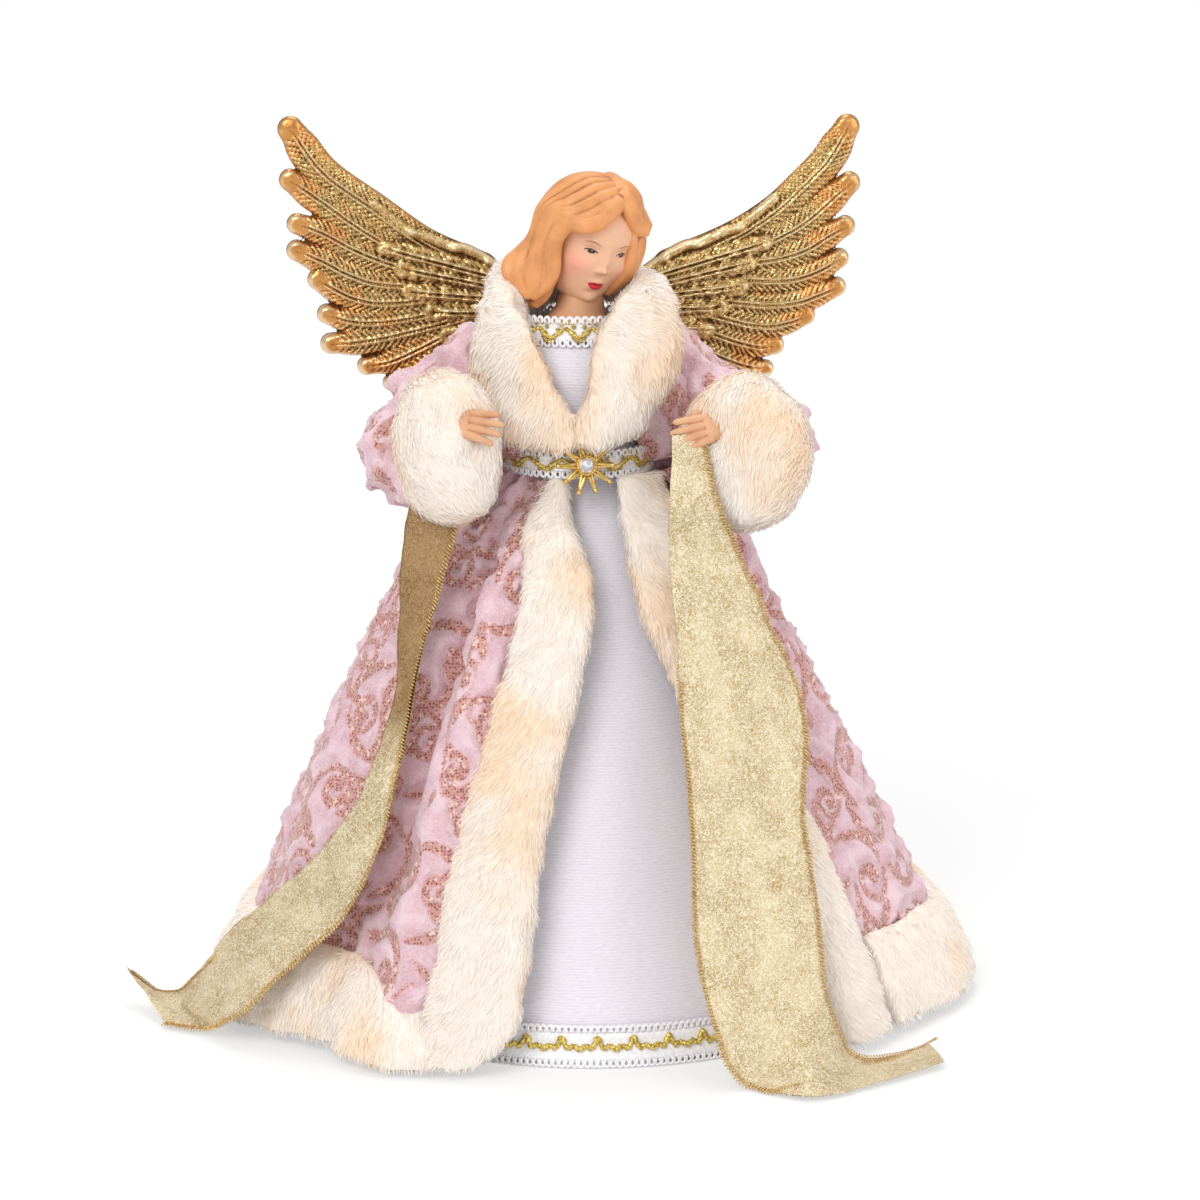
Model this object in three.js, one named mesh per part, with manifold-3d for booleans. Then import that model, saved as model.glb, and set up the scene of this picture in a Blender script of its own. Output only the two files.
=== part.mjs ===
// Angel tree topper: a hollow card cone dressed in a knit gown and a fur-edged plush coat.
// Millimetres, +Z up, the figure faces -Y. The origin is the cone's axis at the level it stands on.
// Angles round the figure are in degrees from the front, positive towards +X.

import * as THREE from 'three';
import { mergeVertices } from 'three/addons/utils/BufferGeometryUtils.js';
import Module from 'manifold-3d';

const { lerp, smoothstep, degToRad, clamp } = THREE.MathUtils;

const wasm = await Module();
wasm.setup();

// How finely round shapes are divided
const ballSides = 12;
const ballLevels = 8;
const wireSides = 6;
const armWireSteps = 16;
const fingerSides = 5;
const fingerSteps = 3;
const wristSides = 8;
const palmSides = 10;
const palmSteps = 4;
const sleeveSides = 10;
const sleeveSteps = 5;
const cuffSides = 16;
const cuffSteps = 8;
const plugSides = 20;
const socketSides = 16;
const bezelSides = 14;
const stoneSides = 10;
const featherSteps = 5;
const covertSteps = 3;
const collarSides = 10;
const frontFurRows = 12;
const headLevels = 14;
const headSides = 20;
const hairCapSides = 16;
const hairCapLevels = 8;
const hairLockSteps = 4;
const hairLockSides = 6;

const fullTurn = 360;

// Overall sizes that the pieces follow, from the cone up
const coneHeight = 185;
const torsoLength = 47;
const waistRise = 2;
const shoulderDrop = 10;
const hemHalfWidth = 133;
const hemHalfDepth = 112;
const bodyHalfWidth = 80;
const bodyDepth = 60;
const waistHeight = coneHeight + waistRise;
const torsoTopHeight = coneHeight + torsoLength;
const shoulderHeight = torsoTopHeight - shoulderDrop;

// Fits and walls
const fitGap = 0.35;
const weldDistance = 0.0001;
const cardWall = 1.2;
const dressCloth = 1.2;
const coatCloth = 2.4;
const overrun = 4;

// Cone and gown skirt
const coneHemRadius = 94;
const coneTopRadius = 17;
const dressHemRaise = 0.8;
const dressTopDrop = 2.6;
const roundStations = 40;

// Torso, standing on the cone
const torsoOffset = 5;
const torsoForward = 3;
const torsoPlugDepth = 9;
const torsoHalfWidth = 24;
const torsoHalfDepth = 19.5;
const neckSocketRadius = 8.6;
const neckSocketDepth = 7.5;
const bodiceTopDrop = 1;
const torsoStations = 24;

// Trim runs
const trimThickness = 1.6;
const waistTrimHeight = 7;
const waistTrimDrop = 3;
const waistTrimHalfWidth = 26;
const waistTrimHalfDepth = 25.5;
const neckTrimHeight = 7.5;
const neckTrimDrop = 4.7;
const hemTrimHeight = 13.2;

// Coat skirt
const coatTopDrop = 3.5;
const coatWaistRadius = 27;
const hipFlareLeft = 23;
const hipFlareRight = 12;
const coatFoldHeight = 5.5;
const coatRippleDepth = 2.4;
const coatRipples = 18;
const coatStations = 64;
const coatRows = 5;

// Fur
const furProudHeight = 6;
const furInsetDepth = 4;
const furHemBottom = 2.6;
const furHemHeight = 31;
const frontFurWidth = 24;
const furHemStations = 38;

// Collar
const collarHalfWidth = 15.5;
const collarHalfThickness = 6.5;
const collarStations = 18;

// Arms
const shoulderReachLeft = 40;
const shoulderReachRight = 32;
const shoulderSetback = 2;
const shoulderBallRadius = 10.5;
const wireRadius = 1.2;
const armTurns = 30;
const stubPlay = 1.4;
const sleeveRadius = 20;
const cuffHalfLength = 15;
const cuffHalfHeight = 26;
const cuffHalfDepth = 17.5;

// Hands
const wristRadius = 4;
const palmLength = 10;
const palmWidth = 9.5;
const palmThickness = 4.6;
const fingerLength = 11.5;
const fingerRadius = 1.7;

// Ribbons
const ribbonThickness = 0.9;
const ribbonStations = 40;

// Wings
const wingHalfSpan = 100;
const wingRise = 73;
const wingSetback = 38;
const featherThickness = 1.7;
const featherStep = 0.3;
const wingBlockWidth = 34;
const wingBlockHeight = 22;
const wingBlockDrop = 23;
const wingBlockFront = 17;
const wingBlockDepth = 25.4;
const wingTongueReach = 5;
const wingTongueHeight = 9;

// Head and hair
const headHeight = 37;
const headRise = 28;
const headForward = 3;
const skullHalfWidth = 14.5;
const skullHalfDepth = 17.5;
const headTurn = 17;
const headNod = 12;
const headTilt = 6;
const headOffset = 1;
const neckRadius = 7.4;
const hairThickness = 3;

// Star brooch
const broochOffset = 6.4;
const broochRise = 0.6;
const broochRadius = 10.4;
const broochRays = 10;
const broochLean = -14;
const broochStandoff = 1.2;
const nestDepth = 12;
const rayWireRadius = 0.55;
const rayBallRadius = 0.95;
const bezelRadius = 3.4;
const bezelDepth = 2;
const stoneRadius = 2.7;
const stoneDepth = 2.4;

// Levels that follow from these
const dressTopHeight = coneHeight - dressTopDrop;
const bodiceTopHeight = torsoTopHeight - bodiceTopDrop;
const waistTrimBase = waistHeight - waistTrimDrop;
const neckTrimBase = torsoTopHeight - neckTrimDrop;
const coatTopHeight = waistHeight - coatTopDrop;
const headCentreHeight = torsoTopHeight + headRise;
const broochHeight = waistHeight + broochRise;
const wingBlockBase = torsoTopHeight - wingBlockDrop;
const wingRootHeight = wingBlockBase + (wingBlockHeight + wingTongueHeight) / 2;

const v3 = (x, y, z) => new THREE.Vector3(x, y, z);

// A point of the skirt's surroundings, as shares of its half width, half depth and waist height
const skirtPoint = ([x, y, z]) => v3(x * hemHalfWidth, y * hemHalfDepth, z * waistHeight);

// A height beside the torso: a share of its length, up from the shoulders
const besideTorso = (share) => shoulderHeight + share * torsoLength;

// A point of the upper body, as shares of its half width, depth and torso length
const bodyPoint = ([x, y, z]) => v3(x * bodyHalfWidth, y * bodyDepth, besideTorso(z));

// A point at an angle round the axis, or round the torso's own axis
function polar(angle, radius, height, shift = 0, forward = 0) {
  const turn = degToRad(angle);
  return v3(shift + radius * Math.sin(turn), -forward - radius * Math.cos(turn), height);
}

// Radius of an ellipse towards an angle
function ellipseRadius(angle, halfWidth, halfDepth) {
  const turn = degToRad(angle);
  return 1 / Math.hypot(Math.sin(turn) / halfWidth, Math.cos(turn) / halfDepth);
}

// Value at a share, from a list of [share, value] pairs: straight runs, or eased ones
function slope(pairs, share, ease = (at, from, to) => (at - from) / (to - from)) {
  const next = pairs.findIndex(([at]) => at >= share);
  if (next === 0) return pairs[0][1];
  if (next < 0) return pairs[pairs.length - 1][1];
  const [fromAt, from] = pairs[next - 1];
  const [toAt, to] = pairs[next];
  return lerp(from, to, ease(share, fromAt, toAt));
}

const ramp = (pairs, share) => slope(pairs, share, smoothstep);

const shares = (count) => Array.from({ length: count + 1 }, (_, i) => i / count);

// Closed solid through rings of equally many points. The ends are closed by strips across the ring.
function skin(rings, loop = false) {
  const n = rings[0].length;
  const positions = rings.flat().flatMap((p) => [p.x, p.y, p.z]);
  const index = [];
  const at = (i, j) => (i % rings.length) * n + (j % n);
  const quad = (a, b, c, d) => index.push(a, b, c, a, c, d);
  const bands = loop ? rings.length : rings.length - 1;
  for (let i = 0; i < bands; i += 1) {
    for (let j = 0; j < n; j += 1) quad(at(i, j), at(i, j + 1), at(i + 1, j + 1), at(i + 1, j));
  }
  if (!loop) {
    const last = rings.length - 1;
    for (let j = 0; j < n / 2 - 1; j += 1) {
      quad(at(0, n - 1 - j), at(0, n - 2 - j), at(0, j + 1), at(0, j));
      quad(at(last, j), at(last, j + 1), at(last, n - 2 - j), at(last, n - 1 - j));
    }
  }
  const geometry = new THREE.BufferGeometry();
  geometry.setAttribute('position', new THREE.Float32BufferAttribute(positions, 3));
  geometry.setIndex(volumeOf(positions, index) < 0 ? index.reverse() : index);
  return geometry;
}

function volumeOf(positions, index) {
  const corner = (k) => v3(...positions.slice(3 * index[k], 3 * index[k] + 3));
  let sum = 0;
  for (let k = 0; k < index.length; k += 3) {
    sum += corner(k).dot(corner(k + 1).cross(corner(k + 2)));
  }
  return sum;
}

function toManifold(geometry) {
  const bare = geometry.clone();
  bare.deleteAttribute('normal');
  bare.deleteAttribute('uv');
  const merged = mergeVertices(bare, weldDistance);
  return new wasm.Manifold(new wasm.Mesh({
    numProp: 3,
    vertProperties: new Float32Array(merged.attributes.position.array),
    triVerts: new Uint32Array(merged.index.array),
  }));
}

function fromManifold(solid) {
  const mesh = solid.getMesh();
  const geometry = new THREE.BufferGeometry();
  geometry.setAttribute('position', new THREE.BufferAttribute(mesh.vertProperties, 3));
  geometry.setIndex(new THREE.BufferAttribute(mesh.triVerts, 1));
  return geometry;
}

const carve = (geometry, cutters) => fromManifold(
  cutters.reduce((solid, cutter) => solid.subtract(toManifold(cutter)), toManifold(geometry)),
);

const fuse = (geometries) => fromManifold(
  geometries.map(toManifold).reduce((solid, piece) => solid.add(piece)),
);

// The same solid on the other side of the middle plane
function mirrored(geometry) {
  const copy = fromManifold(toManifold(geometry));
  copy.scale(-1, 1, 1);
  copy.index.array.reverse();
  return copy;
}

// Ring of points in a plane: centre, two axes and their reaches
function ovalRing(centre, across, up, reachAcross, reachUp, count) {
  return Array.from({ length: count }, (_, j) => {
    const turn = (2 * Math.PI * j) / count;
    return centre.clone()
      .addScaledVector(across, reachAcross * Math.cos(turn))
      .addScaledVector(up, reachUp * Math.sin(turn));
  });
}

// Ellipsoid-ended barrel from one point to another; radiusAt gives its reach at a share of the way
function barrel(from, to, up, radiusAt, count, steps) {
  const along = to.clone().sub(from);
  const axis = along.clone().normalize();
  const across = up.clone().cross(axis).normalize();
  const over = axis.clone().cross(across);
  return skin(shares(steps).map((share) => {
    const [reachAcross, reachOver] = radiusAt(share);
    return ovalRing(from.clone().addScaledVector(along, share), across, over, reachAcross, reachOver, count);
  }));
}

function ballAt(centre, radius) {
  const ball = new THREE.SphereGeometry(radius, ballSides, ballLevels);
  ball.translate(centre.x, centre.y, centre.z);
  return ball;
}

const roundWire = (points, radius, steps, sides = wireSides) => {
  const section = new THREE.Shape(
    Array.from({ length: sides }, (_, j) => {
      const turn = (2 * Math.PI * j) / sides;
      return new THREE.Vector2(radius * Math.cos(turn), radius * Math.sin(turn));
    }),
  );
  return new THREE.ExtrudeGeometry(section, { steps, extrudePath: new THREE.CatmullRomCurve3(points) });
};

// Ring-shaped sheet between an outer and an inner wall, over a list of heights
function ringSheet(outerAt, innerAt, heights, stations) {
  const wall = (at) => heights.map((height) => (
    Array.from({ length: stations }, (_, j) => at((fullTurn * j) / stations, height))
  ));
  return skin([...wall(outerAt), ...wall(innerAt).reverse()], true);
}

const heightsBetween = (low, high, steps) => shares(steps).map((share) => lerp(low, high, share));

// Cone and gown skirt

const coneRadius = (height) => lerp(coneHemRadius, coneTopRadius, height / coneHeight);
const dressInner = (height) => coneRadius(height) + fitGap;
const dressOuter = (height) => dressInner(height) + dressCloth;

const makeCone = () => ringSheet(
  (angle, height) => polar(angle, coneRadius(height), height),
  (angle, height) => polar(angle, coneRadius(height) - cardWall, height),
  [0, coneHeight],
  roundStations,
);

function makeDressSkirt() {
  return ringSheet(
    (angle, height) => polar(angle, dressOuter(height), height),
    (angle, height) => polar(angle, dressInner(height), height),
    heightsBetween(dressHemRaise, dressTopHeight, 3),
    roundStations,
  );
}

// Torso: [share of the way up, share of the half width, share of the half depth]
const torsoOutlineShares = [[0, 0.78, 0.9], [0.3, 0.88, 1], [0.62, 1, 1], [0.86, 0.96, 0.86], [1, 0.72, 0.66]];

function torsoReach(height, grow) {
  const share = clamp((height - coneHeight) / (torsoTopHeight - coneHeight), 0, 1);
  const width = slope(torsoOutlineShares.map(([at, value]) => [at, value]), share);
  const depth = slope(torsoOutlineShares.map(([at, , value]) => [at, value]), share);
  return [torsoHalfWidth * width + grow, torsoHalfDepth * depth + grow];
}

function torsoPoint(angle, height, grow) {
  return polar(angle, ellipseRadius(angle, ...torsoReach(height, grow)), height, -torsoOffset, torsoForward);
}

// The heights where the torso's outline bends, between two ends
const torsoLevels = (low, high) => [
  low,
  ...torsoOutlineShares.map(([at]) => lerp(coneHeight, torsoTopHeight, at)).filter((z) => z > low && z < high),
  high,
];

const torsoRing = (height, grow) => (
  Array.from({ length: torsoStations }, (_, j) => torsoPoint((fullTurn * j) / torsoStations, height, grow))
);

const filledTorso = (grow, low, high) => skin(torsoLevels(low, high).map((height) => torsoRing(height, grow)));

function upright(radius, length, base, sides) {
  const post = new THREE.CylinderGeometry(radius, radius, length, sides);
  post.rotateX(Math.PI / 2);
  post.translate(0, 0, base + length / 2);
  return post;
}

function makeTorso() {
  const trunk = filledTorso(0, coneHeight + fitGap, torsoTopHeight);
  const plugRadius = coneTopRadius - cardWall - fitGap;
  const plug = upright(plugRadius, torsoPlugDepth, coneHeight + fitGap + cardWall - torsoPlugDepth, plugSides);
  const socketBase = torsoTopHeight - neckSocketDepth;
  const socket = upright(neckSocketRadius, neckSocketDepth + overrun, socketBase, socketSides);
  socket.translate(-torsoOffset, -torsoForward, 0);
  return carve(fuse([trunk, plug]), [socket, shoulderWire(wireRadius + fitGap)]);
}

const bodiceOuter = fitGap + dressCloth;
const coatBodiceInner = bodiceOuter + fitGap;
const coatBodiceOuter = coatBodiceInner + coatCloth;

function makeDressBodice() {
  const base = waistTrimBase + waistTrimHeight / 2;
  return carve(filledTorso(bodiceOuter, base, bodiceTopHeight), [
    filledTorso(fitGap, base - overrun, bodiceTopHeight + overrun),
    shoulderWire(wireRadius + fitGap),
  ]);
}

// Trim bands
function makeWaistTrim() {
  const at = (grow) => (angle, level) => {
    const radius = ellipseRadius(angle, waistTrimHalfWidth + grow, waistTrimHalfDepth + grow);
    return polar(angle, radius, level, -torsoOffset, torsoForward);
  };
  return ringSheet(at(0), at(-trimThickness), [waistTrimBase, waistTrimBase + waistTrimHeight], torsoStations);
}

function makeNeckTrim() {
  const at = (grow) => (angle, level) => torsoPoint(angle, Math.min(level, torsoTopHeight), grow).setZ(level);
  const inner = bodiceOuter + fitGap;
  return ringSheet(
    at(inner + trimThickness),
    at(inner),
    torsoLevels(neckTrimBase, neckTrimBase + neckTrimHeight),
    torsoStations,
  );
}

const hemTrimBase = dressHemRaise;

function makeHemTrim() {
  const at = (grow) => (angle, height) => polar(angle, dressOuter(height) + grow, height);
  return ringSheet(
    at(fitGap + trimThickness),
    at(fitGap),
    [hemTrimBase, hemTrimBase + hemTrimHeight],
    roundStations,
  );
}

// Star brooch: each ray is a V of two wires that meet in a ball
const rayFootShare = 0.72;
const recessShare = 0.4;

function makeBrooch() {
  const pieces = [];
  const bezel = new THREE.CylinderGeometry(bezelRadius, bezelRadius, bezelDepth, bezelSides);
  pieces.push(bezel);
  for (let k = 0; k < broochRays; k += 1) {
    const turn = (2 * Math.PI * k) / broochRays;
    const spread = Math.PI / broochRays;
    const tip = v3(Math.sin(turn), 0, Math.cos(turn)).multiplyScalar(broochRadius - rayBallRadius);
    for (const side of [-1, 1]) {
      const foot = turn + side * spread * rayFootShare;
      const start = v3(Math.sin(foot), 0, Math.cos(foot)).multiplyScalar(bezelRadius - rayWireRadius);
      pieces.push(barrel(start, tip, v3(0, 1, 0), () => [rayWireRadius, rayWireRadius], 4, 1));
    }
    const ball = new THREE.OctahedronGeometry(rayBallRadius);
    ball.translate(tip.x, tip.y, tip.z);
    pieces.push(ball);
  }
  const recess = new THREE.CylinderGeometry(stoneRadius + fitGap, stoneRadius + fitGap, bezelDepth, bezelSides);
  recess.translate(0, -bezelDepth * recessShare, 0);
  return seatBrooch(carve(fuse(pieces), [recess]));
}

// The brooch leans with the coat below it
function seatBrooch(geometry) {
  const belt = -torsoForward - waistTrimHalfDepth;
  geometry.rotateX(degToRad(broochLean));
  geometry.translate(-broochOffset, belt - fitGap - bezelDepth / 2 - broochStandoff, broochHeight);
  return geometry;
}

// The hollow that the brooch presses in the fur round it
function broochNest() {
  const nestRadius = broochRadius + 2 * fitGap;
  const nest = new THREE.CylinderGeometry(nestRadius, nestRadius, nestDepth, plugSides);
  nest.translate(0, rayBallRadius + fitGap - nestDepth / 2, 0);
  return seatBrooch(nest);
}

// Faceted stone: a crown with a flat table over a shallow back
const stoneShares = [[0, 0], [0.8, 0], [1, 0.25], [1, 0.4], [0.6, 1], [0, 1]];

function makeStone() {
  const outline = stoneShares.map(([radius, depth]) => (
    new THREE.Vector2(radius * stoneRadius, depth * stoneDepth)
  ));
  const stone = new THREE.LatheGeometry(outline, stoneSides);
  stone.rotateX(Math.PI);
  return seatBrooch(stone);
}

const dropShare = (height) => (waistHeight - height) / waistHeight;

// Coat skirt: an oval bell with rolls and hollows that grow towards the hem
const coatFolds = [
  [-44, 1, 6], [-57, -0.9, 7], [-75, 0.5, 9], [-98, -0.4, 8], [-120, 0.7, 9], [-140, -0.6, 8],
  [-160, 0.8, 9], [180, -0.5, 8], [160, 0.8, 9], [138, -0.6, 9], [116, 0.6, 9], [95, -0.35, 8],
  [74, 0.4, 9], [56, -0.3, 7],
];
const hipDropShare = 0.12;
const foldStartShare = 0.4;

// The bell without its folds
function bellRadius(angle, height) {
  const drop = dropShare(height);
  const left = Math.sin(degToRad(angle)) < 0;
  const flare = left ? hipFlareLeft : hipFlareRight;
  const hip = smoothstep(drop, 0, hipDropShare);
  const halfWidth = lerp(coatWaistRadius + flare * hip, hemHalfWidth, drop) - flare * (1 - hip) * drop;
  const halfDepth = lerp(coatWaistRadius, hemHalfDepth, drop) + furInsetDepth * hip * (1 - drop);
  return ellipseRadius(angle, halfWidth, halfDepth);
}

function coatRadius(angle, height) {
  const drop = dropShare(height);
  const folds = coatFolds.reduce((sum, [at, rise, width]) => {
    const away = ((angle - at + 1.5 * fullTurn) % fullTurn) - fullTurn / 2;
    return sum + rise * Math.exp(-((away / width) ** 2));
  }, 0);
  const growth = smoothstep(drop, 0, foldStartShare) * lerp(foldStartShare, 1, drop);
  return bellRadius(angle, height) + coatFoldHeight * folds * growth;
}

// Ripples of the plush between its folds: shallow dents that run up the coat and swing a little. They
// fade out towards the waist, the hem and the front edges.
const rippleDropShares = [[0.05, 0], [0.3, 1], [0.7, 1], [0.81, 0]];
const rippleSideShares = [[0, 0], [0.07, 1], [0.93, 1], [1, 0]];
const rippleSwayShare = 0.3;

function rippleDent(angle, height, share) {
  const drop = dropShare(height);
  const sway = rippleSwayShare * Math.sin(2 * Math.PI * drop);
  const wave = (1 - Math.cos(coatRipples * degToRad(angle) + 2 * Math.PI * sway)) / 2;
  return coatRippleDepth * wave * ramp(rippleDropShares, drop) * ramp(rippleSideShares, share);
}

// Front edges, in degrees, by share of the drop from the waist
const leftInnerEdge = [[0.02, -25], [0.21, -6], [0.37, -10], [0.53, -14], [0.66, -17], [0.8, -17.6], [1, -19]];
const leftOuterEdge = [[0.05, -42], [0.21, -35], [0.37, -33], [0.66, -35], [0.8, -34], [1, -33]];
const rightInnerEdge = [[0.02, 6.6], [0.21, 8], [0.38, 18.7], [0.7, 34], [0.93, 36], [1, 36]];

const leftInner = (height) => ramp(leftInnerEdge, dropShare(height));
const leftOuter = (height) => ramp(leftOuterEdge, dropShare(height));
const rightInner = (height) => ramp(rightInnerEdge, dropShare(height));
const rightOuter = (height) => {
  const inner = rightInner(height);
  return inner + (180 / Math.PI) * (frontFurWidth / coatRadius(inner, height));
};

const seamAngle = (height) => (180 / Math.PI) * (fitGap / coatRadius(0, height));
const furHemTop = furHemBottom + furHemHeight;

function coatSheet(outerGrow, innerGrow, low, high, rows) {
  const heights = heightsBetween(low, high, rows);
  const station = (share) => {
    const at = (height, grow) => {
      const from = rightOuter(height) + 3 * seamAngle(height);
      const to = fullTurn + leftOuter(height) - 3 * seamAngle(height);
      const angle = lerp(from, to, share);
      return polar(angle, coatRadius(angle, height) - rippleDent(angle, height, share) + grow, height);
    };
    return [
      ...heights.map((height) => at(height, outerGrow)),
      ...heights.map((height) => at(height, innerGrow)).reverse(),
    ];
  };
  return skin(shares(coatStations).map(station));
}

const makeCoatSkirt = () => carve(
  coatSheet(0, -coatCloth, furHemTop + fitGap, coatTopHeight, coatRows),
  [frontFur(leftOuter, leftInner, fitGap), frontFur(rightInner, rightOuter, fitGap)],
);

// Fur band down a front edge: rounded section, from just clear of the gown to proud of the coat
const furOutlineShares = [[0, 0.55], [0.06, 0.8], [0.25, 0.97], [0.5, 1], [0.75, 0.97], [0.94, 0.8], [1, 0.55]];
const furTaperShare = 0.14;

function frontFur(innerAt, outerAt, grow) {
  const heights = heightsBetween(furHemBottom, coatTopHeight, frontFurRows);
  return skin(heights.map((height) => {
    const from = innerAt(height) - 2 * (grow / fitGap) * seamAngle(height);
    const to = outerAt(height) + 2 * (grow / fitGap) * seamAngle(height);
    const ring = (share, crown) => {
      const angle = lerp(from, to, share);
      const inside = furInside(angle, height) - grow;
      const outside = Math.max(coatRadius(angle, height) + furRise(height), inside + furInsetDepth) + grow;
      return polar(angle, lerp(inside, outside, crown), height);
    };
    return [
      ...furOutlineShares.map(([share, crown]) => ring(share, crown)),
      ...furOutlineShares.map(([share]) => ring(share, 0)).reverse(),
    ];
  }));
}

// How far the fur stands off the coat: less where the belt holds it in
const furRise = (height) => furProudHeight * smoothstep(dropShare(height), 0, furTaperShare);

const furInside = (angle, height) => Math.max(
  coatRadius(angle, height) - furInsetDepth - coatCloth,
  dressOuter(height) + trimThickness + 2 * fitGap,
);

const makeLeftFrontFur = () => carve(frontFur(leftOuter, leftInner, 0), [broochNest()]);
const makeRightFrontFur = () => carve(frontFur(rightInner, rightOuter, 0), [broochNest()]);

// Fur roll round the hem, from the right band round the back to the left band
const hemOutlineShares = [
  [0.12, 0], [0, 0.4], [0.05, 0.8], [0.4, 1.02], [0.9, 0.9], [1, 0.55], [0.95, 0.15], [0.5, 0],
];

function makeFurHem() {
  const middle = furHemBottom + furHemHeight / 2;
  const stationAt = (share) => {
    const from = rightOuter(middle) + 2 * seamAngle(middle);
    const to = fullTurn + leftOuter(middle) - 2 * seamAngle(middle);
    return hemOutlineShares.map(([rise, crown]) => {
      const height = furHemBottom + rise * furHemHeight;
      const angle = lerp(from, to, share);
      const outside = coatRadius(angle, height) + furProudHeight;
      return polar(angle, lerp(furInside(angle, height), outside, crown), height);
    });
  };
  return carve(
    skin(shares(furHemStations).map(stationAt)),
    [frontFur(leftOuter, leftInner, fitGap), frontFur(rightInner, rightOuter, fitGap)],
  );
}

// Coat bodice: shell round the back and sides, its fronts hidden by the collar
const bodiceFrontAngle = 40;

function makeCoatBodice() {
  const low = waistTrimBase + waistTrimHeight + fitGap;
  const heights = torsoLevels(low, neckTrimBase - fitGap);
  const station = (share) => {
    const angle = lerp(bodiceFrontAngle, fullTurn - bodiceFrontAngle, share);
    return [
      ...heights.map((height) => torsoPoint(angle, height, coatBodiceOuter)),
      ...heights.map((height) => torsoPoint(angle, height, coatBodiceInner)).reverse(),
    ];
  };
  const shell = skin(shares(torsoStations).map(station));
  const holes = [-1, 1].map((side) => ballAt(shoulderPoint(side), shoulderBallRadius + fitGap));
  return carve(shell, [...holes, shoulderWire(wireRadius + fitGap)]);
}

// Collar: a fur roll from the left lapel round the neck to the right lapel
// [angle from the front, share of the torso length above the shoulders]
const collarPathShares = [
  [-20, -0.543], [-36, -0.331], [-64, 0.047], [-95, 0.307], [-135, 0.449], [-180, 0.472],
  [-230, 0.472], [-276, 0.354], [-314, 0.142], [-342, -0.283], [-353, -0.557],
];
const collarWidthShares = [
  [0, 0.3], [0.09, 1.1], [0.2, 1.35], [0.35, 0.8], [0.5, 0.5], [0.65, 0.8], [0.8, 1.15], [0.91, 1], [1, 0.3],
];
const collarInnerShare = 1.6;
const collarFacingShare = 0.7;
const collarLiftShare = 0.75;

function makeCollar() {
  const lift = coatBodiceOuter + collarHalfThickness * collarLiftShare;
  const path = new THREE.CatmullRomCurve3(collarPathShares.map(([angle, rise]) => (
    torsoPoint(angle, besideTorso(rise), lift)
  )));
  const rings = shares(collarStations).map((share) => {
    const centre = path.getPointAt(share);
    const along = path.getTangentAt(share);
    const [halfWidth, halfDepth] = torsoReach(centre.z, lift);
    const sideways = collarFacingShare * (centre.x + torsoOffset) / halfWidth ** 2;
    const out = v3(sideways, (centre.y + torsoForward) / halfDepth ** 2, 0).normalize();
    out.addScaledVector(along, -out.dot(along)).normalize();
    const across = out.clone().cross(along).normalize();
    const reach = collarHalfWidth * ramp(collarWidthShares, share);
    const ring = ovalRing(centre, across, out, reach, collarHalfThickness, collarSides);
    return ring.map((point) => {
      const depth = point.clone().sub(centre).dot(out);
      return depth < 0 ? point.addScaledVector(out, depth * (collarInnerShare - 1)) : point;
    });
  });
  const cutters = [
    filledTorso(coatBodiceOuter + 2 * fitGap, waistTrimBase, torsoTopHeight - fitGap),
    ...hairSolids(fitGap),
    headSolid(fitGap),
    neckSolid(fitGap),
    neckTrimBlock(),
    broochNest(),
    ...sweptSleeve('left'),
    ...sweptSleeve('right'),
  ];
  return carve(skin(rings), cutters);
}

function neckTrimBlock() {
  const grow = bodiceOuter + trimThickness + 2 * fitGap;
  const low = neckTrimBase - fitGap;
  const high = neckTrimBase + neckTrimHeight + fitGap;
  const rings = torsoLevels(low, high).map((height) => (
    torsoRing(Math.min(height, torsoTopHeight), grow).map((point) => point.setZ(height))
  ));
  return skin(rings);
}

// Arms

const shoulderReach = (side) => (side < 0 ? -shoulderReachLeft : shoulderReachRight);
const shoulderPoint = (side) => v3(shoulderReach(side), shoulderSetback, shoulderHeight);

function shoulderWire(radius) {
  const length = shoulderReachRight + shoulderReachLeft - 2 * wireRadius - 2 * fitGap;
  const wire = new THREE.CylinderGeometry(radius, radius, length, 10);
  wire.rotateZ(Math.PI / 2);
  wire.translate((shoulderReachRight - shoulderReachLeft) / 2, shoulderSetback, shoulderHeight);
  return wire;
}

const arms = {
  left: {
    side: -1,
    elbowShares: [-0.74, 0.02, -0.709],
    wristShares: [-0.76, -0.42, -0.59],
    cuffShares: [-0.67, -0.64, -0.553],
    cuffAxis: v3(0.55, -0.8, 0.15).normalize(),
    cuffWidthShare: 0.95,
    handShares: [-0.71, -0.82, -0.34],
    handAim: v3(0.95, -0.3, 0).normalize(),
    palmNormal: v3(0.25, 0.75, -0.6).normalize(),
  },
  right: {
    side: 1,
    elbowShares: [0.66, 0.02, -0.661],
    wristShares: [0.7, -0.42, -0.661],
    cuffShares: [0.565, -0.7, -0.624],
    cuffAxis: v3(-0.6, -0.78, 0.12).normalize(),
    cuffWidthShare: 1.22,
    handShares: [0.49, -0.8, -0.402],
    handAim: v3(-0.95, -0.22, -0.1).normalize(),
    palmNormal: v3(-0.25, 0.8, -0.5).normalize(),
  },
};

const elbowOverShare = 0.55;
const sleeveRipples = 3;
const sleeveRippleShare = 0.07;
const upperSleeveShares = [[0, 0.5], [0.15, 0.74], [0.45, 0.96], [0.8, 1.04], [1, 0.9]];
const foreSleeveShares = [[0, 0.86], [0.3, 1.04], [0.7, 1], [1, 0.82]];

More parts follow.
